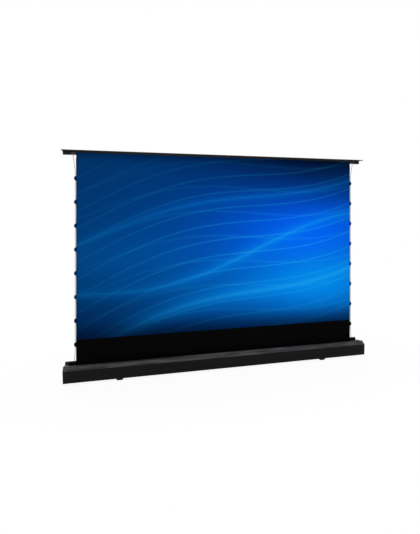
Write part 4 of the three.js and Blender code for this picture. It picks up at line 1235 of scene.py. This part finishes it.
@dataclass
class ProjectionCloth:
    """The cloth with its black drop, and the tabs along both of its edges."""

    dresser: Dresser
    margin: float = 3.0 * MM
    margin_end: Pair = (1.585, 1.612)
    low: float = 62.3 * MM
    high: float = 1643.9 * MM
    picture_low: float = 286 * MM
    picture_high: float = 1634 * MM
    border: float = 9 * MM
    bow: float = 1.2 * MM
    ripple: float = 0.5 * MM
    ripple_reach: float = 55 * MM
    tab_low: float = 252 * MM
    tab_pitch: float = 171 * MM
    tab_count: int = 8
    tab_base: float = 38 * MM
    tab_tip: float = 24 * MM
    tab_reach: float = 15.5 * MM
    tab_root: float = 5 * MM
    tab_rounding: float = 7 * MM
    tab_sheet: float = 1.8 * MM
    tab_edge: float = 0.35 * MM
    tunnel_radius: float = 2.8 * MM
    tunnel_overhang: float = 1.5 * MM
    tunnel_gap: float = 0.4 * MM
    cord_from_line: float = 7.5 * MM
    columns: int = 120
    rows: int = 180
    hem_rows: int = 4

    @property
    def half_width(self) -> float:
        """Half the width that the cloth is cut to."""
        return CLOTH_HALF + self.margin

    @property
    def tab_places(self) -> list[float]:
        """The heights of the tabs."""
        return [self.tab_low + i * self.tab_pitch for i in range(self.tab_count)]

    def inset(self, height: float) -> float:
        """How far the edge stands in at a height.

        Args:
            height: The height above the floor.

        Returns:
            Nothing at a tab, most between two, and the whole margin up where the anchors stand beside it.
        """
        start, end = self.margin_end
        stops = [self.low + self.tab_pitch / 4, *self.tab_places, start]
        for below, above in zip(stops, stops[1:]):
            if below <= height <= above:
                share = (height - below) / (above - below)
                return self.bow * 4 * share * (1 - share)
        return self.margin * min(1.0, max(0.0, (height - start) / (end - start)))

    def lift(self, x: float, z: float) -> float:
        """The faint ripples that the pull of the tabs leaves along the edges."""
        depth = (self.half_width - abs(x)) / self.ripple_reach
        phase = 2 * math.pi * (z - self.tab_low) / self.tab_pitch
        return self.ripple * math.exp(-depth * depth) * math.cos(phase) * min(1.0, depth * 4)

    def share_up(self, height: float) -> float:
        """A height as a share of the cloth, from the roller to the bar."""
        return (height - self.low) / (self.high - self.low)

    def sheet(self, name: str, low: float, high: float, rows: int) -> Piece:
        """A stretch of the cloth: a closed thin sheet with a UV map and its rear side marked.

        Args:
            name: The piece's name.
            low: The height at which it starts.
            high: The height at which it ends.
            rows: Into how many rows of faces it is divided.

        Returns:
            The sheet.
        """
        points = []
        for face_y in (CLOTH_PLANE - CLOTH_THICKNESS / 2, CLOTH_PLANE + CLOTH_THICKNESS / 2):
            for z in np.linspace(low, high, rows + 1):
                half = self.half_width - self.inset(z)
                for x in np.linspace(-1, 1, self.columns + 1) * half:
                    points.append((x, face_y + self.lift(x, z), z))
        wide, tall = self.columns + 1, rows + 1
        behind = wide * tall
        faces = []
        for r in range(rows):
            for a in range(r * wide, r * wide + self.columns):
                b = a + behind
                faces.append((a, a + 1, a + wide + 1, a + wide))
                faces.append((b, b + wide, b + wide + 1, b + 1))
        rear = [0.0, 1.0] * (len(faces) // 2)
        rim = list(range(wide))
        rim += [r * wide + wide - 1 for r in range(1, tall)]
        rim += [(tall - 1) * wide + c for c in reversed(range(wide - 1))]
        rim += [r * wide for r in reversed(range(1, tall - 1))]
        for here, there in zip(rim, rim[1:] + rim[:1]):
            faces.append((there, here, here + behind, there + behind))
            rear.append(1.0)
        cloth = Bench.from_points(name, points, faces)
        Bench.mark(cloth, REAR_ATTRIBUTE, rear)
        Bench.unwrap(cloth, lambda corner: (corner.x / (2 * self.half_width) + 0.5, self.share_up(corner.z)))
        Bench.smooth(cloth, 30)
        return cloth

    def tab(self) -> Piece:
        """One tab on the right edge, at height zero: a welded pad with a tunnel for the cord."""
        root, tip = CLOTH_HALF - self.tab_root, CLOTH_HALF + self.tab_reach
        front = CLOTH_PLANE - self.tab_sheet / 2
        corner = (root, front, -self.tab_base / 2)
        pad = Bench.block("pad", corner, (tip, front + self.tab_sheet, self.tab_base / 2))
        settings = {
            "value": (1, 1, self.tab_tip / self.tab_base),
            "center_override": (tip, CLOTH_PLANE, 0),
            "orient_type": "GLOBAL",
        }
        Bench.edit(pad, "VERT", lambda vertex: vertex.co.x > tip - NEAR, bpy.ops.transform.resize, **settings)

        def outer_corner(edge: bmesh.types.BMEdge) -> bool:
            """Whether an edge at the tip runs from front to back."""
            start, end = (vertex.co for vertex in edge.verts)
            return min(start.x, end.x) > tip - NEAR and abs(start.y - end.y) > (end - start).length / 2

        Bench.round_edges(pad, outer_corner, self.tab_rounding, 7)
        centre = CLOTH_HALF + self.cord_from_line
        for name, radius, reach, sides, keep in (
            ("tunnel", self.tunnel_radius, self.tab_tip / 2 + self.tunnel_overhang, 24, "UNION"),
            ("bore", CORD_RADIUS + self.tunnel_gap, self.tab_base, 20, "DIFFERENCE"),
        ):
            ends = (centre, CLOTH_PLANE, -reach), (centre, CLOTH_PLANE, reach)
            Bench.cut(pad, Bench.rod(name, radius, *ends, sides), keep=keep)
        Bench.bevel(pad, self.tab_edge, 40)
        return pad

    def tabs(self, side: Side, finish: Finish) -> Piece:
        """All the tabs of one edge: the colour of the cloth's border in front, black behind.

        Args:
            side: Which edge.
            finish: The finish of the cloth.

        Returns:
            The tabs, as one piece.
        """
        mirror = Matrix.Scale(side.value, 4, (1, 0, 0))
        places = [Matrix.Translation((0, 0, z)) @ mirror for z in self.tab_places]
        tabs = Bench.gather(f"edge_tabs_{side.word}", self.tab(), places)
        Bench.face_out(tabs)
        edge = 0.5 + side.value * (0.5 - self.border / 2 / (2 * self.half_width))
        Bench.unwrap(tabs, lambda corner: (edge, self.share_up(corner.z)))
        Bench.mark(tabs, REAR_ATTRIBUTE, [face.normal.y > -0.2 for face in tabs.data.polygons])
        Bench.smooth(tabs, 40)
        self.dresser.dress(tabs, finish, "case")
        fold_away(tabs)
        return tabs

    def build(self) -> None:
        """Makes and dresses the cloth, its tabs, and its hem, which is clamped to the bar and stays there."""
        shares = self.share_up(self.picture_low), self.share_up(self.picture_high)
        border = self.border / (2 * self.half_width)
        finish = PrintedCloth("printed_cloth", "cloth_print", (7, 7, 8), 0.66, 0.01, *shares, border)
        cloth = self.sheet("picture_cloth", self.low, LIFT_LINE, self.rows)
        self.dresser.dress(cloth, finish, "case", ["screen_cloth"])
        hem = self.sheet("cloth_hem", LIFT_LINE, self.high, self.hem_rows)
        self.dresser.dress(hem, finish, "top_bar")
        tabs = [self.tabs(side, finish) for side in Side]
        fold_away(cloth)


@dataclass
class RollerUnit:
    """The roller tube with the turns of cloth on it, its plug and wheels, and the motor inside."""

    dresser: Dresser
    axis_y: float = -53.3 * MM
    axis_z: float = 62 * MM
    tube_half: float = 1.132
    tube_radius: float = 30 * MM
    tube_wall: float = 1.6 * MM
    outer_line: float = 33.3 * MM
    pitch: float = 1.3 * MM
    turns: int = 2
    steps: int = 72

    def tube(self) -> Piece:
        """An open aluminium tube with rounded rims."""
        ends = (-self.tube_half, self.axis_y, self.axis_z), (self.tube_half, self.axis_y, self.axis_z)
        tube = Bench.rod("roller_tube_drawn", self.tube_radius, *ends, 72, closed=False)
        Bench.modify(tube, "SOLIDIFY", thickness=self.tube_wall, offset=-1)
        Bench.round_over(tube, THIN_EDGE)
        return tube

    def wound_cloth(self) -> Piece:
        """The turns that stay on the tube: one spiral strip, which ends where the cloth rises."""
        count = self.turns * self.steps
        outward = [(i, CLOTH_THICKNESS / 2) for i in range(count + 1)]
        back = [(i, -CLOTH_THICKNESS / 2) for i in reversed(range(count + 1))]
        ring = []
        for i, offset in outward + back:
            angle = 2 * math.pi * (i - count) / self.steps
            radius = self.outer_line - self.pitch * (count - i) / self.steps + offset
            ring.append((self.axis_y + radius * math.cos(angle), self.axis_z + radius * math.sin(angle)))
        points = [(x, y, z) for x in (-CLOTH_HALF, CLOTH_HALF) for y, z in ring]
        size = len(ring)
        faces = [(i, (i + 1) % size, size + (i + 1) % size, size + i) for i in range(size)]
        for i in range(count):
            far = size - 1 - i
            faces.append((i, far, far - 1, i + 1))
            faces.append((size + i, size + i + 1, size + far - 1, size + far))
        wound = Bench.from_points("wound_cloth", points, faces)
        Bench.face_out(wound)
        Bench.smooth(wound, 40)
        return wound

    def build(self) -> None:
        """Makes and dresses the roller."""
        dresser, finishes = self.dresser, self.dresser.palette
        dresser.dress(self.tube(), finishes.tube, "roller", ["roller_tube"])
        wound = dresser.dress(self.wound_cloth(), finishes.black_cloth, "roller", ["cloth_roll"])
        dresser.edged("roller", finishes.wheel, EDGE, "idler_plug")
        dresser.carry(finishes.wheel, "crown_wheel", "drive_wheel")
        dresser.carry(finishes.pin, "idler_bush")
        dresser.carry(finishes.motor, "motor_tube")
        dresser.edged("case", finishes.control, SOFT_EDGE, "motor_head")
        dresser.edged("case", finishes.pin, EDGE, "idler_pin")
        dresser.edged("case", finishes.fork, EDGE, *(f"roller_bracket_{side.word}" for side in Side))


@dataclass
class Case:
    """The low case: front cover, floor, back panel, end caps, inlet, and what is screwed to them."""

    dresser: Dresser
    half: float = 1.1647
    front: float = -110 * MM
    bottom: float = 14 * MM
    cover_bottom: float = 17 * MM
    slope_foot: float = 99 * MM
    crest_front: float = -77 * MM
    crest_rear: float = -67 * MM
    crest: float = 120 * MM
    ledge: float = 111 * MM
    ledge_edge: float = -50 * MM
    lip_bottom: float = 104 * MM
    bends: tuple[tuple[int, float], ...] = ((1, 1.5 * MM), (2, 2.0 * MM), (3, 1.2 * MM), (5, 1.0 * MM))
    wall: float = 2.2 * MM
    cap_edge: float = 0.8 * MM
    cap_outer: float = 1.189
    cap_draft_share: float = 3.5 / 106
    cap_tilt: float = 0.03
    cap_screw_depths: Pair = (-92 * MM, 8 * MM)
    cap_screw_height: float = 40 * MM
    floor_screw_rows: Pair = (-101 * MM, 21.5 * MM)
    floor_screw_margin: float = 40 * MM
    floor_screw_columns: int = 7
    rear: float = 26.5 * MM
    rear_screws: tuple[Pair, ...] = (
        (0.2, 22.5 * MM),
        (0.61, 22.5 * MM),
        (1.02, 22.5 * MM),
        (1.159, 36 * MM),
        (1.159, 76 * MM),
    )
    inlet: Triple = (-1.093, 28.4 * MM, 48 * MM)
    contact_radius: float = 1.55 * MM
    contact_spacing: float = 9 * MM
    contact_foot: float = 15.6 * MM
    contact_length: float = 10.6 * MM
    contact_rounding: float = 0.7 * MM

    def cover(self) -> Piece:
        """The front cover: one folded wall with rounded bends."""
        path = [
            (self.front, self.cover_bottom),
            (self.front, self.slope_foot),
            (self.crest_front, self.crest),
            (self.crest_rear, self.crest),
            (self.crest_rear, self.ledge),
            (self.ledge_edge, self.ledge),
            (self.ledge_edge, self.lip_bottom),
        ]
        cover = Bench.folded("front_cover", self.half, path, self.bends)
        Bench.thicken(cover, self.wall, (0, 1, 0))
        Bench.round_over(cover, EDGE)
        return cover

    def panel_screws(self) -> None:
        """The screws up through the floor, and those in the back panel: along its foot and at both ends."""
        reach = self.half - self.floor_screw_margin
        across = np.linspace(-reach, reach, self.floor_screw_columns)
        points = [(x, y, self.bottom) for y in self.floor_screw_rows for x in across]
        self.dresser.screws("floor_screws", FLUSH_SCREW, "case", points, (0, 0, -1))
        points = [(side.value * x, self.rear, z) for side in Side for x, z in self.rear_screws]
        self.dresser.screws("back_panel_screws", SMALL_SCREW, "case", points, (0, 1, 0))

    def cap_screws(self, side: Side) -> None:
        """The two screws in the outside of an end cap, which leans in towards its top."""
        x = self.cap_outer - (self.crest - self.cap_screw_height) * self.cap_draft_share
        points = [(side.value * x, y, self.cap_screw_height) for y in self.cap_screw_depths]
        way = (side.value, 0, -self.cap_tilt)
        self.dresser.screws(f"end_cap_screws_{side.word}", PAN_SCREW, "case", points, way)

    def contacts(self) -> Piece:
        """The two bright pins inside the power inlet."""
        x, face, z = self.inlet
        places = [Matrix.Translation((x + side.value * self.contact_spacing / 2, face, z)) for side in Side]
        ends = (0, -self.contact_foot, 0), (0, self.contact_length - self.contact_foot, 0)
        pin = Bench.rod("contact", self.contact_radius, *ends, 20)
        middle = -self.contact_foot / 2
        Bench.round_edges(pin, lambda e: all(v.co.y > middle for v in e.verts), self.contact_rounding, 3)
        Bench.smooth(pin)
        return Bench.gather("inlet_contacts", pin, places)

    def build(self) -> None:
        """Makes and dresses the case."""
        dresser, finishes = self.dresser, self.dresser.palette
        dresser.dress(self.cover(), finishes.cover, "case", ["case_front"])
        dresser.edged("case", finishes.base, EDGE, "case_base", "case_back")
        self.panel_screws()
        for side in Side:
            dresser.edged("case", finishes.cap, self.cap_edge, f"end_cap_{side.word}")
            self.cap_screws(side)
            dresser.edged("case", finishes.fork, THIN_EDGE, f"shoulder_fork_{side.word}")
            dresser.socketed(f"shoulder_pin_{side.word}", "case")
        dresser.edged("case", finishes.control, WIDE_EDGE, "control_box")
        dresser.edged("case", finishes.control, THIN_EDGE, "power_inlet")
        dresser.dress(self.contacts(), finishes.pin, "case")


@dataclass
class TopBar:
    """The lid-like bar: lid plate, hollow body, end blocks, cord anchors, clamp and top forks."""

    dresser: Dresser
    anchor_x: float = TensionCords.route[0][0]
    cord_y: float = TensionCords.route[0][1]
    anchor_front: float = -30 * MM
    anchor_screw_offset: float = 11 * MM
    anchor_screw_z: float = 1629.5 * MM
    ferrule_radius: float = 2.7 * MM
    ferrule_wall: float = 0.9 * MM
    ferrule_edge: float = 0.25 * MM
    ferrule_top: float = 1619.6 * MM
    body_rear: float = 10 * MM
    end_screw_x: float = 1.138
    end_screw_heights: Pair = (1625.5 * MM, 1635.5 * MM)

    def screws(self, side: Side) -> None:
        """The small screws in front of a cord anchor, and those behind the bar that hold its end block."""
        middle = side.value * self.anchor_x
        offsets = (-self.anchor_screw_offset, self.anchor_screw_offset)
        points = [(middle + offset, self.anchor_front, self.anchor_screw_z) for offset in offsets]
        self.dresser.screws(f"anchor_screws_{side.word}", ANCHOR_SCREW, "top_bar", points, (0, -1, 0))
        points = [(side.value * self.end_screw_x, self.body_rear, z) for z in self.end_screw_heights]
        self.dresser.screws(f"bar_end_screws_{side.word}", SMALL_SCREW, "top_bar", points, (0, 1, 0))

    def ferrule(self, side: Side) -> Piece:
        """The collar through which the cord leaves its anchor."""
        x = side.value * self.anchor_x
        ends = (x, self.cord_y, LIFT_LINE), (x, self.cord_y, self.ferrule_top)
        ferrule = Bench.rod(f"cord_ferrule_{side.word}", self.ferrule_radius, *ends, 28, closed=False)
        Bench.modify(ferrule, "SOLIDIFY", thickness=self.ferrule_wall, offset=-1)
        Bench.round_over(ferrule, self.ferrule_edge)
        return ferrule

    def build(self) -> None:
        """Makes and dresses the bar."""
        dresser, finishes = self.dresser, self.dresser.palette
        dresser.edged("top_bar", finishes.bar, SOFT_EDGE, "lid_plate")
        dresser.edged("top_bar", finishes.bar, EDGE, "bar_body", "cloth_clamp")
        for side in Side:
            dresser.edged("top_bar", finishes.bar_end, WIDE_EDGE, f"bar_end_{side.word}")
            dresser.edged("top_bar", finishes.anchor, EDGE, f"cord_anchor_{side.word}")
            dresser.edged("top_bar", finishes.fork, THIN_EDGE, f"top_fork_{side.word}")
            dresser.socketed(f"top_pin_{side.word}", "top_bar")
            self.screws(side)
            dresser.dress(self.ferrule(side), finishes.pin, "top_bar")


@dataclass
class KneeArm:
    """One folding arm behind the cloth: two tubes, four eyes, the elbow pin and its spacer."""

    dresser: Dresser
    side: Side

    def build(self) -> None:
        """Makes and dresses the arm."""
        dresser, finishes, word = self.dresser, self.dresser.palette, self.side.word
        lower, upper = f"lower_arm_{word}", f"upper_arm_{word}"
        dresser.edged(lower, finishes.arm, EDGE, f"lower_arm_tube_{word}")
        dresser.edged(upper, finishes.arm, EDGE, f"upper_arm_tube_{word}")
        dresser.edged(lower, finishes.fork, EDGE, f"shoulder_eye_{word}", f"lower_elbow_eye_{word}")
        dresser.edged(upper, finishes.fork, EDGE, f"upper_elbow_eye_{word}", f"top_eye_{word}")
        dresser.socketed(f"elbow_pin_{word}", lower)
        dresser.edged(lower, finishes.wheel, EDGE, f"elbow_spacer_{word}")
        dresser.carry(finishes.pin, f"lift_spring_{word}")


@dataclass
class Foot:
    """One swivelling foot with its rubber pad and bolt."""

    dresser: Dresser
    side: Side
    edge: float = 1.0 * MM

    def build(self) -> None:
        """Makes and dresses the foot."""
        dresser, finishes, word = self.dresser, self.dresser.palette, self.side.word
        dresser.edged(f"foot_{word}", finishes.foot, self.edge, f"foot_{word}")
        dresser.edged(f"foot_{word}", finishes.rubber, SOFT_EDGE, f"foot_pad_{word}")
        dresser.edged("case", finishes.pin, EDGE, f"foot_bolt_{word}")


def main() -> None:
    """Builds the studio and every sub-assembly in turn."""
    logging.basicConfig(level=logging.INFO, format="%(message)s")
    dresser = Dresser(Palette())
    Studio().build()
    TensionCords(dresser).build()
    ProjectionCloth(dresser).build()
    RollerUnit(dresser).build()
    Case(dresser).build()
    TopBar(dresser).build()
    for side in Side:
        KneeArm(dresser, side).build()
        Foot(dresser, side).build()


if __name__ == "__main__":
    main()
